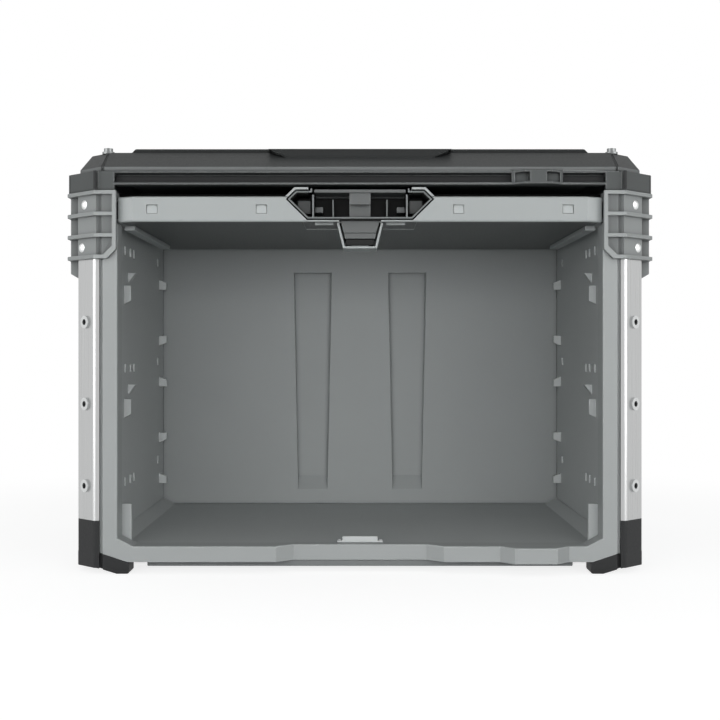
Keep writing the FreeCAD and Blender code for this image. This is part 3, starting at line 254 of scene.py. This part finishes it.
def edge_marker(name, attribute, kind, shortest):
    """Geometry nodes that store 1 on each edge that is steep and longer than the shortest."""
    tree = bpy.data.node_groups.new(name, "GeometryNodeTree")
    for way in ("INPUT", "OUTPUT"):
        tree.interface.new_socket("Geometry", in_out=way, socket_type="NodeSocketGeometry")
    start = add(tree, "NodeGroupInput")
    angle = add(tree, "GeometryNodeInputMeshEdgeAngle")
    ends = add(tree, "GeometryNodeInputMeshEdgeVertices").outputs
    length = add(
        tree, "ShaderNodeVectorMath", operation="DISTANCE",
        links={0: ends["Position 1"], 1: ends["Position 2"]},
    )
    steep = add(
        tree, "FunctionNodeCompare", {1: steep_angle}, {0: angle.outputs["Unsigned Angle"]},
        operation="GREATER_THAN",
    )
    long = add(
        tree, "FunctionNodeCompare", {1: shortest}, {0: length.outputs["Value"]},
        operation="GREATER_THAN",
    )
    chosen = add(
        tree, "FunctionNodeBooleanMath", operation="AND",
        links={0: steep.outputs[0], 1: long.outputs[0]},
    )
    store = add(
        tree, "GeometryNodeStoreNamedAttribute", {"Name": attribute},
        {"Geometry": start.outputs[0], "Value": chosen.outputs[0]},
        data_type=kind, domain="EDGE",
    )
    add(tree, "NodeGroupOutput", links={0: store.outputs[0]})
    return tree


stays_sharp = edge_marker("mark_sharp_edges", "sharp_edge", "BOOLEAN", 0.0)
print("edge marker: edges steeper than %.0f degrees" % math.degrees(steep_angle))

# %% [markdown]
# ## Round the CAD pieces
# Each kind of piece has its own mould radius, from 0.3 mm on thin parts to 1 mm on the back
# wall. The CAD faces come in as triangles, so the modifiers first weld the corners and join
# the flat triangles to whole faces. After the rounding, what stays steep is marked sharp, and
# weighted normals keep the flat faces flat. All of it is modifiers, so the CAD mesh stays.

# %% Round the CAD pieces
weld_reach = 0.002 * MM
flat_angle = math.radians(0.5)        # triangles that bend less than this are one face
shortest_edge = 3.2                   # in radii; a shorter edge has no room to be rounded
round_segments = 2
markers = {}


def soften(piece, radius_mm):
    """Round the long steep edges of a piece by a radius, and keep its faces flat."""
    if radius_mm not in markers:
        shortest = shortest_edge * radius_mm * MM
        name = "mark_%.2f_mm" % radius_mm
        markers[radius_mm] = edge_marker(name, "bevel_weight_edge", "FLOAT", shortest)
    weld = piece.modifiers.new("weld_corners", "WELD")
    weld.merge_threshold = weld_reach
    flat = piece.modifiers.new("whole_faces", "DECIMATE")
    flat.decimate_type = "DISSOLVE"
    flat.angle_limit = flat_angle
    piece.modifiers.new("choose_edges", "NODES").node_group = markers[radius_mm]
    bevel = piece.modifiers.new("mould_radius", "BEVEL")
    bevel.limit_method = "WEIGHT"
    bevel.width = radius_mm * MM
    bevel.segments = round_segments
    bevel.use_clamp_overlap = False
    piece.modifiers.new("keep_sharp", "NODES").node_group = stays_sharp
    even = piece.modifiers.new("flat_faces", "WEIGHTED_NORMAL")
    even.keep_sharp = True


edge_radius_mm = {
    # a name stands for the piece, and for its left, right, front and rear twins
    "top_cover": 0.9, "front_frame": 0.6, "base_tray": 0.8, "back_wall": 1.0,
    "rear_shell": 0.8, "roof_panel": 0.6, "side_shell": 0.8, "side_wall": 0.6,
    "bracket": 0.7, "foot": 0.9, "post": 0.3, "handle_bezel": 0.5, "handle_housing": 0.3,
    "handle_rim": 0.3, "handle_blocks": 0.5, "handle_stem": 0.5, "latch_housing": 0.4,
    "latch_rim": 0.5, "latch_paddle": 0.8, "lid_trim_strip": 0.5, "latch_bolt": 0.3,
    "door_glide": 0.6, "door_stop": 0.6, "latch_keeper": 0.5, "base_skids": 0.8,
    "guide_rail": 0.3,
}
softened = 0
for name, piece in nodes.items():
    for part, radius in edge_radius_mm.items():
        if name == part or name.endswith("_" + part):
            soften(piece, radius)
            softened += 1
print("rounded the edges of", softened, "CAD pieces")

# %% [markdown]
# ## Zones of painted light and shade
# One piece can show more than one tone. Most zones here are painted shade or a painted
# highlight: faces that look up, down or to the front, and bands in a groove, a recess or on a
# rib, take a darker or a lighter colour. Each zone could be a material of its own, but then
# the faces would have to be picked by hand. Here a zone is worked out in the material: the
# faces that point one way, or that lie near one plane of the piece, take another colour.

# %% Zones
def add_zone(tree, base, coordinate, axis, middle, edge, full, colour):
    """Mix in a colour near the middle of a coordinate: none beyond edge, all within full."""
    source = add(tree, "ShaderNodeTexCoord").outputs[coordinate]
    # a place loses its sign, so that left and right pieces are alike
    sign = "ABSOLUTE" if coordinate == "Object" else "NORMALIZE"
    plain = add(tree, "ShaderNodeVectorMath", links={0: source}, operation=sign)
    parts = add(tree, "ShaderNodeSeparateXYZ", links={0: plain.outputs[0]})
    offset = add(
        tree, "ShaderNodeMath", {1: middle}, {0: parts.outputs[axis]}, operation="SUBTRACT"
    )
    away = add(tree, "ShaderNodeMath", links={0: offset.outputs[0]}, operation="ABSOLUTE")
    inside = add(
        tree, "ShaderNodeMapRange", {"From Min": edge, "From Max": full},
        {"Value": away.outputs[0]},
    )
    mixed = add(
        tree, "ShaderNodeMix", {7: linear(colour)}, {0: inside.outputs[0], 6: base},
        data_type="RGBA",
    )
    return mixed.outputs[2]


lid_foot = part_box("front_left_bracket")[1].z
pad_middle = lid_foot + 43.6 * MM         # middle of the height of the lid's raised pads
step_middle = lid_foot + 20.6 * MM        # middle of the upright step below the lid's slope
block_front = front_plane + 27 * MM       # front of the lid's middle block
ear_front = front_plane + 33 * MM         # front of a bracket's ear
column_middle = 238.5 * MM                # inner column of a bracket, from the cabinet's middle
groove_middle = 245.2 * MM                # groove beside that column
rib_middle = 190 * MM                     # ribs of a bracket, from the middle of the depth
# bracket: painted shade on the inner column, the groove beside it and the ear fronts, and a
# painted highlight on the ribs
# coordinate, axis, middle, none beyond, full within, colour
bracket_zones = [
    ("Object", "X", column_middle, 5.6 * MM, 4.6 * MM, "#6E7272"),
    ("Object", "X", groove_middle, 2.4 * MM, 1.8 * MM, "#5A5E5E"),
    ("Object", "Y", rib_middle, 6.5 * MM, 5.5 * MM, "#9B9F9F"),
    ("Object", "Y", -ear_front, 0.6 * MM, 0.4 * MM, "#7C8080"),
]
# lid: painted shade on faces that look up, a painted highlight on the upright step, and darker
# bands on the front of the middle block and of the pads
lid_zones = [
    ("Normal", "Z", 1.0, 0.9, 0.55, "#363838"),
    ("Object", "Y", -block_front, 0.4 * MM, 0.2 * MM, "#282A2A"),
    ("Object", "Z", pad_middle, 1.7 * MM, 1.4 * MM, "#232525"),
    ("Object", "Z", step_middle, 2.2 * MM, 1.8 * MM, "#727575"),
]
# painted highlight on faces that look to the front, such as the hooks on the inner walls
front_face_highlight = [("Normal", "Y", -1.0, 0.5, 0.2, "#C0C4C4")]
# painted shade on faces that look down, such as the door's inner face
door_underside_shade = [("Normal", "Z", -1.0, 0.3, 0.1, "#3C4040")]
print("zones: %d on a bracket, %d on the lid" % (len(bracket_zones), len(lid_zones)))

# %% [markdown]
# ## Moulded plastic
# Most of the cabinet is injection-moulded. The mould is spark-eroded, which leaves a fine,
# even grain that scatters the light and hides flow marks. Pictures of real plastic could be
# wrapped round each piece, but noise in the material needs no unwrapping and has no seams. One
# function makes every resin: a base colour with a very slow drift, the grain as a shallow
# bump, and a roughness that follows the grain. A Bevel node finds the edges and paints them a
# little lighter: a painted highlight. An Ambient Occlusion node finds the inside corners, keeps
# the painted highlight out of them and paints them darker: painted shade.

# %% Moulded plastic
drift_mm = 90            # width of the slow changes of tone
highlight_reach_mm = 1.1       # how far from an edge the painted highlight reaches
highlight_most = 0.75          # share of the painted highlight colour on the sharpest edges
gloss_swing = 0.06       # how far the roughness follows the grain
edge_samples, air_samples = 4, 6


def moulded(
    name, colour, highlight_colour, roughness, ior, grain, corner=(6, 0.7), shine=0.5, zones=()
):
    """A moulded plastic: grain is spacing and depth in mm, corner is the reach in mm and the tone
    of the painted corner shade.
    """
    paint = new_paint(name)
    tree = paint.node_tree
    grain_mm, grain_deep_mm = grain
    corner_mm, corner_shade_tone = corner
    place = add(tree, "ShaderNodeTexCoord").outputs["Object"]
    grains = add(
        tree, "ShaderNodeTexNoise",
        {"Scale": 1 / (grain_mm * MM), "Detail": 2.0, "Roughness": 0.55}, {"Vector": place},
    ).outputs["Fac"]
    drift = add(
        tree, "ShaderNodeTexNoise", {"Scale": 1 / (drift_mm * MM), "Detail": 3.0},
        {"Vector": place},
    )

    # painted highlight: the rounded normal leaves the true one near an edge, and open air leaves
    # out the grooves
    round_normal = add(
        tree, "ShaderNodeBevel", {"Radius": highlight_reach_mm * MM}, samples=edge_samples
    )
    true_normal = add(tree, "ShaderNodeNewGeometry").outputs["True Normal"]
    facing = add(
        tree, "ShaderNodeVectorMath", operation="DOT_PRODUCT",
        links={0: round_normal.outputs[0], 1: true_normal},
    )
    edge = add(
        tree, "ShaderNodeMapRange", {"From Min": 0.99, "From Max": 0.91, "To Max": highlight_most},
        {"Value": facing.outputs["Value"]},
    )
    open_air = add(
        tree, "ShaderNodeAmbientOcclusion", {"Distance": corner_mm * MM}, samples=air_samples
    ).outputs["AO"]
    exposed = add(
        tree, "ShaderNodeMapRange", {"From Min": 0.80, "From Max": 0.97}, {"Value": open_air}
    )
    highlighted = add(
        tree, "ShaderNodeMath", operation="MULTIPLY",
        links={0: edge.outputs[0], 1: exposed.outputs[0]},
    )
    base = add(
        tree, "ShaderNodeMix", {6: linear(colour), 7: linear(highlight_colour)},
        {0: highlighted.outputs[0]}, data_type="RGBA",
    ).outputs[2]
    for zone in zones:
        base = add_zone(tree, base, *zone)

    # drift and the painted corner shade change the tone and keep the hue
    drift_tone = add(
        tree, "ShaderNodeMapRange",
        {"From Min": 0.3, "From Max": 0.7, "To Min": 0.98, "To Max": 1.02},
        {"Value": drift.outputs["Fac"]},
    )
    # painted shade: darker in the inside corners that the Ambient Occlusion node finds
    corner_shade = add(
        tree, "ShaderNodeMapRange",
        {"From Min": 0.35, "From Max": 0.97, "To Min": corner_shade_tone, "To Max": 1.0},
        {"Value": open_air},
    )
    tone = add(
        tree, "ShaderNodeMath", operation="MULTIPLY",
        links={0: drift_tone.outputs[0], 1: corner_shade.outputs[0]},
    )
    toned = add(
        tree, "ShaderNodeVectorMath", operation="SCALE",
        links={0: base, "Scale": tone.outputs[0]},
    )
    low, high = roughness - gloss_swing, roughness + gloss_swing
    gloss = add(
        tree, "ShaderNodeMapRange",
        {"From Min": 0.25, "From Max": 0.75, "To Min": low, "To Max": high},
        {"Value": grains},
    )
    bump = add(
        tree, "ShaderNodeBump", {"Strength": 0.35, "Distance": grain_deep_mm * MM},
        {"Height": grains},
    )
    shader = add(
        tree, "ShaderNodeBsdfPrincipled", {"IOR": ior, "Specular IOR Level": shine},
        {"Base Color": toned.outputs[0], "Roughness": gloss.outputs[0], "Normal": bump.outputs[0]},
    )
    add(tree, "ShaderNodeOutputMaterial", links={"Surface": shader.outputs[0]})
    return paint


print("moulded plastic: edges rubbed to %.1f mm, drift %d mm wide" % (highlight_reach_mm, drift_mm))

# %% [markdown]
# ## Plastics of the cabinet
# The body and the door are ABS, which is stiff and takes a clean grain. The brackets and the
# lid are polypropylene, which is tougher and a little waxy, the paddle is nylon, which wears
# well, and the feet are a rubber that grips. One material with many switches could serve them
# all, but separate ones keep the names that a maker would use. A spark-eroded grain is about
# 0.2 mm across. It is drawn 1.2 to 2.4 mm across, so that it shows in the picture.

# %% Plastics of the cabinet
abs_ior, polypropylene_ior, nylon_ior, rubber_ior = 1.53, 1.49, 1.53, 1.52
finishes = {
    # ABS, light grey, spark-eroded: soft even sheen, no clear reflections
    "body_grey": moulded(
        "abs_grey_grained", "#9DA1A1", "#C6CACA", 0.50, abs_ior, (1.4, 0.05)
    ),
    # the same ABS in a paler grey: the door stands out from its frame
    "door_grey": moulded(
        "abs_pale_grey_grained", "#A3A8A8", "#BEC2C2", 0.48, abs_ior, (1.4, 0.05)
    ),
    # polypropylene, grey, with strong painted shade in its corners: painted shade on the inner
    # column, the groove and the ears, and a painted highlight on the ribs
    "bracket_grey": moulded(
        "polypropylene_grey_grained", "#959999", "#AEB2B2", 0.46, polypropylene_ior,
        (1.6, 0.05), (12, 0.45), zones=bracket_zones,
    ),
    # ABS from a polished mould: a narrower, clearer sheen than the grained body
    "trim_grey": moulded(
        "abs_grey_smooth", "#6C7171", "#7E8383", 0.32, abs_ior, (2.4, 0.01), (4, 0.8)
    ),
    # glass-filled polypropylene, charcoal: dark with a broad dull sheen; a painted highlight on
    # its edges and upright step, painted shade in its grooves and on the faces that look up
    "lid_charcoal": moulded(
        "polypropylene_charcoal_grained", "#565959", "#9A9D9D", 0.58, polypropylene_ior,
        (1.6, 0.06), (3, 0.3), 0.2, lid_zones,
    ),
    # nylon, charcoal, fine grain: a soft shine where the fingers press
    "paddle_charcoal": moulded(
        "nylon_charcoal_grained", "#5A5D5D", "#747878", 0.42, nylon_ior, (1.2, 0.04)
    ),
    # ABS, black: the inside of the handle gives almost no light back
    "handle_black": moulded(
        "abs_black_grained", "#0E0F0F", "#222424", 0.50, abs_ior, (1.2, 0.04), (6, 0.4), 0.3
    ),
    # thermoplastic rubber, black: grips, and shines very little
    "foot_black": moulded(
        "rubber_black_moulded", "#1D1E1F", "#383A3B", 0.60, rubber_ior, (1.8, 0.08), (8, 0.4), 0.3
    ),
}
print("moulded finishes:", ", ".join(finishes))

# %% [markdown]
# ## Metals
# The corner posts are bent aluminium strip, anodised: the satin comes from fine rolling lines
# along the strip. Rivets, cups and studs are steel with a bright zinc plate. The screws in the
# cups are blackened. A metal has no base colour under its shine, so its colour is its
# reflection. An anisotropic shader could stretch that reflection along the lines. Noise that
# is stretched along them was chosen because it also shows the lines themselves.

# %% Metals
def metal(name, colour, roughness, line_mm, line_long_mm, line_deep_mm):
    """A metal with fine lines along Z: spacing across, length along, and depth."""
    paint = new_paint(name)
    tree = paint.node_tree
    place = add(tree, "ShaderNodeTexCoord").outputs["Object"]
    across, along = 1 / (line_mm * MM), 1 / (line_long_mm * MM)
    stretch = add(
        tree, "ShaderNodeMapping", {"Scale": (across, across, along)}, {"Vector": place}
    )
    lines = add(
        tree, "ShaderNodeTexNoise", {"Scale": 1.0, "Detail": 3.0},
        {"Vector": stretch.outputs[0]},
    ).outputs["Fac"]
    gloss = add(
        tree, "ShaderNodeMapRange",
        {"From Min": 0.3, "From Max": 0.7, "To Min": roughness - 0.05, "To Max": roughness + 0.07},
        {"Value": lines},
    )
    tone = add(
        tree, "ShaderNodeMapRange",
        {"From Min": 0.3, "From Max": 0.7, "To Min": 0.98, "To Max": 1.015},
        {"Value": lines},
    )
    base = add(
        tree, "ShaderNodeVectorMath", {0: linear(colour)[:3]}, {"Scale": tone.outputs[0]},
        operation="SCALE",
    )
    bump = add(
        tree, "ShaderNodeBump", {"Strength": 0.3, "Distance": line_deep_mm * MM},
        {"Height": lines},
    )
    shader = add(
        tree, "ShaderNodeBsdfPrincipled", {"Metallic": 1.0},
        {"Base Color": base.outputs[0], "Roughness": gloss.outputs[0], "Normal": bump.outputs[0]},
    )
    add(tree, "ShaderNodeOutputMaterial", links={"Surface": shader.outputs[0]})
    return paint


metals = {
    # anodised aluminium, rolled: satin, with one bright line along the bend; the lines are
    # about 0.1 mm apart, and drawn at 0.8 mm so that they show in the picture
    "post_aluminium": metal("aluminium_anodised_satin", "#B8B9B9", 0.30, 0.8, 120.0, 0.01),
    # zinc-plated steel, bright: small white glints; its specks are drawn at 1 mm to show
    "bright_steel": metal("steel_zinc_bright", "#E6E7E7", 0.30, 1.0, 1.0, 0.01),
    # zinc-plated steel, drawn and dull: a soft grey shine along the piece
    "zinc_steel": metal("steel_zinc_dull", "#B9BBBC", 0.38, 1.2, 8.0, 0.01),
    # blackened steel: dark, with a thin glint
    "dark_steel": metal("steel_blackened", "#2A2B2C", 0.40, 1.0, 1.0, 0.01),
}
finishes.update(metals)
print("metal finishes:", ", ".join(metals))

# %% [markdown]
# ## Finishes of single pieces
# Some pieces differ from the rest of their kind. The studs on the lid and the cups on the
# posts have lost some of their shine, and the strips under the base are a greyer rubber. The
# inner walls and the floor are smoother than the outside and painted lighter, as painted
# light. The roof over the door is painted black and the back wall a darker grey, as painted
# shade, and the back wall has a coarser grain. The latch has a bright rim. The door's inner
# panel is pale at the free edge, with painted shade on its inner face. They could be slots of
# the model, but they are only matters of looks, so they are kept here.

# %% Finishes of single pieces
# ABS from the smooth half of the mould, painted lighter than the body as painted light for the
# chamber; faces that look to the front, the hooks among them, take a painted highlight
inner_grey = moulded(
    "abs_grey_smooth_inner", "#A9ADAD", "#BEC2C2", 0.50, abs_ior, (1.4, 0.03), (4, 0.85),
    zones=front_face_highlight,
)
# the same ABS in the same painted-light grey on the stops at the foot of the opening: the same
# tone all round, with no painted highlight in front
stop_grey = moulded(
    "abs_grey_smooth_stops", "#A9ADAD", "#BEC2C2", 0.50, abs_ior, (1.4, 0.03), (4, 0.85)
)
own_finish = {
    "left_side_wall": inner_grey, "right_side_wall": inner_grey,
    "base_tray": inner_grey, "latch_keeper": inner_grey,
    "left_door_stop": stop_grey, "right_door_stop": stop_grey,
    # painted shade: the roof over the door is dressed in the handle's black
    "roof_panel": finishes["handle_black"],
    # zinc-plated steel, handled: a broader, greyer shine than the rivets
    "post_screw_cups": metal("steel_zinc_satin", "#C8CACA", 0.36, 1.0, 1.0, 0.01),
    # zinc-plated steel, worn by stacking: dull grey
    "lid_studs": metal("steel_zinc_worn", "#808282", 0.42, 1.0, 1.0, 0.02),
    # thermoplastic rubber, grey: matt
    "base_skids": moulded(
        "rubber_grey_moulded", "#707474", "#7E8282", 0.60, rubber_ior, (1.8, 0.06)
    ),
    # ABS, coarsely eroded: the flattest sheen of the body, in a darker grey as painted shade for
    # the back of the chamber
    "back_wall": moulded(
        "abs_grey_coarse", "#959999", "#A8ACAC", 0.54, abs_ior, (1.8, 0.07)
    ),
    # ABS from a polished mould, pale: a clear thin sheen round the latch
    "latch_rim": moulded(
        "abs_pale_grey_bright", "#9CA1A1", "#AEB3B3", 0.32, abs_ior, (2.4, 0.01), (4, 0.8)
    ),
    # ABS, pale: pale at the free edge, with painted shade on its inner face, which looks down
    "door_inner_panel": moulded(
        "abs_pale_grey_painted_shade", "#B4B9B9", "#C6CACA", 0.40, abs_ior, (1.4, 0.02),
        zones=door_underside_shade,
    ),
}
print("pieces with a finish of their own:", len(own_finish))

# %% [markdown]
# ## Dress the CAD pieces
# The model's record says which material slot each CAD piece belongs to. One finish was made
# for each slot, so the pieces need not be dressed by hand: one loop does it, and it takes a
# piece's own finish where there is one.

# %% Dress the CAD pieces
for row in frame["record"]["subparts"]:
    piece = nodes[row["node"]]
    piece.data.materials.clear()
    piece.data.materials.append(own_finish.get(row["node"], finishes[row["material_slot"]]))

# %% [markdown]
# ## Small pieces from outlines
# The last pieces are all bars: an outline, drawn out to a second outline. They could be cubes
# that are cut and scaled, but an outline says at once what the section is. One function joins
# two outlines to a closed bar. Another makes the object, rounds its edges with a Bevel
# modifier, and lets it ride on the body that it is moulded to or pressed into.

# %% Bars and small pieces
def bar(shape, near, far):
    """A closed bar between two outlines that have the same number of points."""
    rings = [[shape.verts.new(point) for point in outline] for outline in (near, far)]
    for ring in rings:
        shape.faces.new(ring)
    for i in range(len(near)):
        j = (i + 1) % len(near)
        shape.faces.new([rings[0][i], rings[0][j], rings[1][j], rings[1][i]])


def new_piece(name, mesh_maker, finish, body, radius_mm):
    """Make a mesh with mesh_maker, round its edges, finish it and let it ride on a body."""
    shape = bmesh.new()
    mesh_maker(shape)
    bmesh.ops.recalc_face_normals(shape, faces=shape.faces)
    mesh = bpy.data.meshes.new(name)
    shape.to_mesh(mesh)
    shape.free()
    mesh.materials.append(finish)
    piece = bpy.data.objects.new(name, mesh)
    bpy.context.scene.collection.objects.link(piece)
    bevel = piece.modifiers.new("mould_radius", "BEVEL")
    bevel.width = radius_mm * MM
    bevel.segments = round_segments
    bevel.harden_normals = True
    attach(piece, body)
    print("made %s with %d faces" % (name, len(mesh.polygons)))


# %% [markdown]
# ## Stops on the inner walls
# Each inner wall carries small moulded stops for loose shelves, in three rows of three near
# the front and a column of three at the rear. A stop is a wedge: square to the front, where a
# shelf's edge meets it, and sloping back to the wall, so that the mould lets go of it. They
# are too small for the CAD model, so they are built here as one mesh for each wall.

# %% Stops on the inner walls
wall_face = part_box("back_wall")[1].x
stop_tall, stop_proud, stop_long, stop_sunk = 8.4 * MM, 1.6 * MM, 9 * MM, 0.4 * MM
front_depths, front_heights = (92, 122.5, 143), (77.5, 192, 311)
rear_depth, rear_heights = 304, (82, 197.5, 313)
stop_places = [(depth, height) for depth in front_depths for height in front_heights]
stop_places += [(rear_depth, height) for height in rear_heights]


def wall_stops(side):
    """Maker of one wall's stops; side is -1 on the left and 1 on the right."""
    def make(shape):
        foot, tip = side * (wall_face + stop_sunk), side * (wall_face - stop_proud)
        for depth, height in stop_places:
            front, middle = front_plane + depth * MM, height * MM
            section = [(foot, front), (tip, front), (foot, front + stop_long)]
            ends = (middle - stop_tall / 2, middle + stop_tall / 2)
            bar(shape, *[[(x, y, z) for x, y in section] for z in ends])
    return make


for side, name in ((-1, "left_wall_stops"), (1, "right_wall_stops")):
    new_piece(name, wall_stops(side), inner_grey, "cabinet", 0.25)
print("stops:", len(stop_places), "on each inner wall")

# %% [markdown]
# ## Grip ridges under the handle
# The fingers that pull the door out press from below, so its inner face has a low ridge on
# each side of the latch. A ridge could be a bump in the material, but from the side it would
# be flat, so each is a real bar with a flat top and sloped flanks. In the picture it is a
# short light line, because its front flank catches the light that the inner face doesn't.

# %% Grip ridges
ridge_in, ridge_out = 24.8 * MM, 42.6 * MM        # from the middle of the door
ridge_depth = 8.6 * MM                            # behind the frame plane
ridge_wide, ridge_flank = 3.2 * MM, 0.8 * MM
ridge_hang, ridge_sunk = 1.6 * MM, 1.2 * MM       # below the inner face, and into it
inner_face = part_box("door_inner_panel")[0].z


def grip_ridges(shape):
    """Two bars with sloped flanks on the door's inner face."""
    front, rear = front_plane + ridge_depth, front_plane + ridge_depth + ridge_wide
    root, crest = inner_face + ridge_sunk, inner_face - ridge_hang
    section = [
        (front, root), (front + ridge_flank, crest), (rear - ridge_flank, crest), (rear, root),
    ]
    for side in (-1, 1):
        bar(shape, *[[(side * x, y, z) for y, z in section] for x in (ridge_in, ridge_out)])


new_piece("door_grip_ridges", grip_ridges, finishes["door_grey"], "door", 0.3)
print("grip ridges: inner face at %.1f mm" % (inner_face / MM))

# %% [markdown]
# ## Painted shade in the corner grooves
# The upright groove at each front corner of the lid's lower band is dark right to its mouth. A
# black cord with a half-round front lies in it as painted shade: it stands for the shadow in
# the groove. A dark zone on the lid would give the line but no rounding, so the cord is a
# piece of its own.

# %% Painted shade in the corner grooves
lid_low, lid_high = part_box("top_cover")
cord_in = 33 * MM                                 # from the lid's side to the cord's middle
cord_half, cord_swell = 1.6 * MM, 1.9 * MM        # half its width, and how far it bulges
cord_foot = lid_low.y + 3.4 * MM
cord_heights = (lid_foot + 0.3 * MM, lid_foot + 17.6 * MM)
cord_points = 8


def groove_shade_cords(shape):
    """Two upright black cords with a half-round front, as painted shade in the grooves."""
    turns = [math.pi * i / cord_points for i in range(cord_points + 1)]
    for side in (-1, 1):
        middle = side * (lid_high.x - cord_in)
        section = [
            (middle - cord_half * math.cos(turn), cord_foot - cord_swell * math.sin(turn))
            for turn in turns
        ]
        bar(shape, *[[(x, y, z) for x, y in section] for z in cord_heights])


# the cords are painted shade for the lid's corner grooves
new_piece("lid_groove_shade_cords", groove_shade_cords, finishes["foot_black"], "cabinet", 0.1)
print("corner seals: %.1f mm from the middle" % ((lid_high.x - cord_in) / MM))
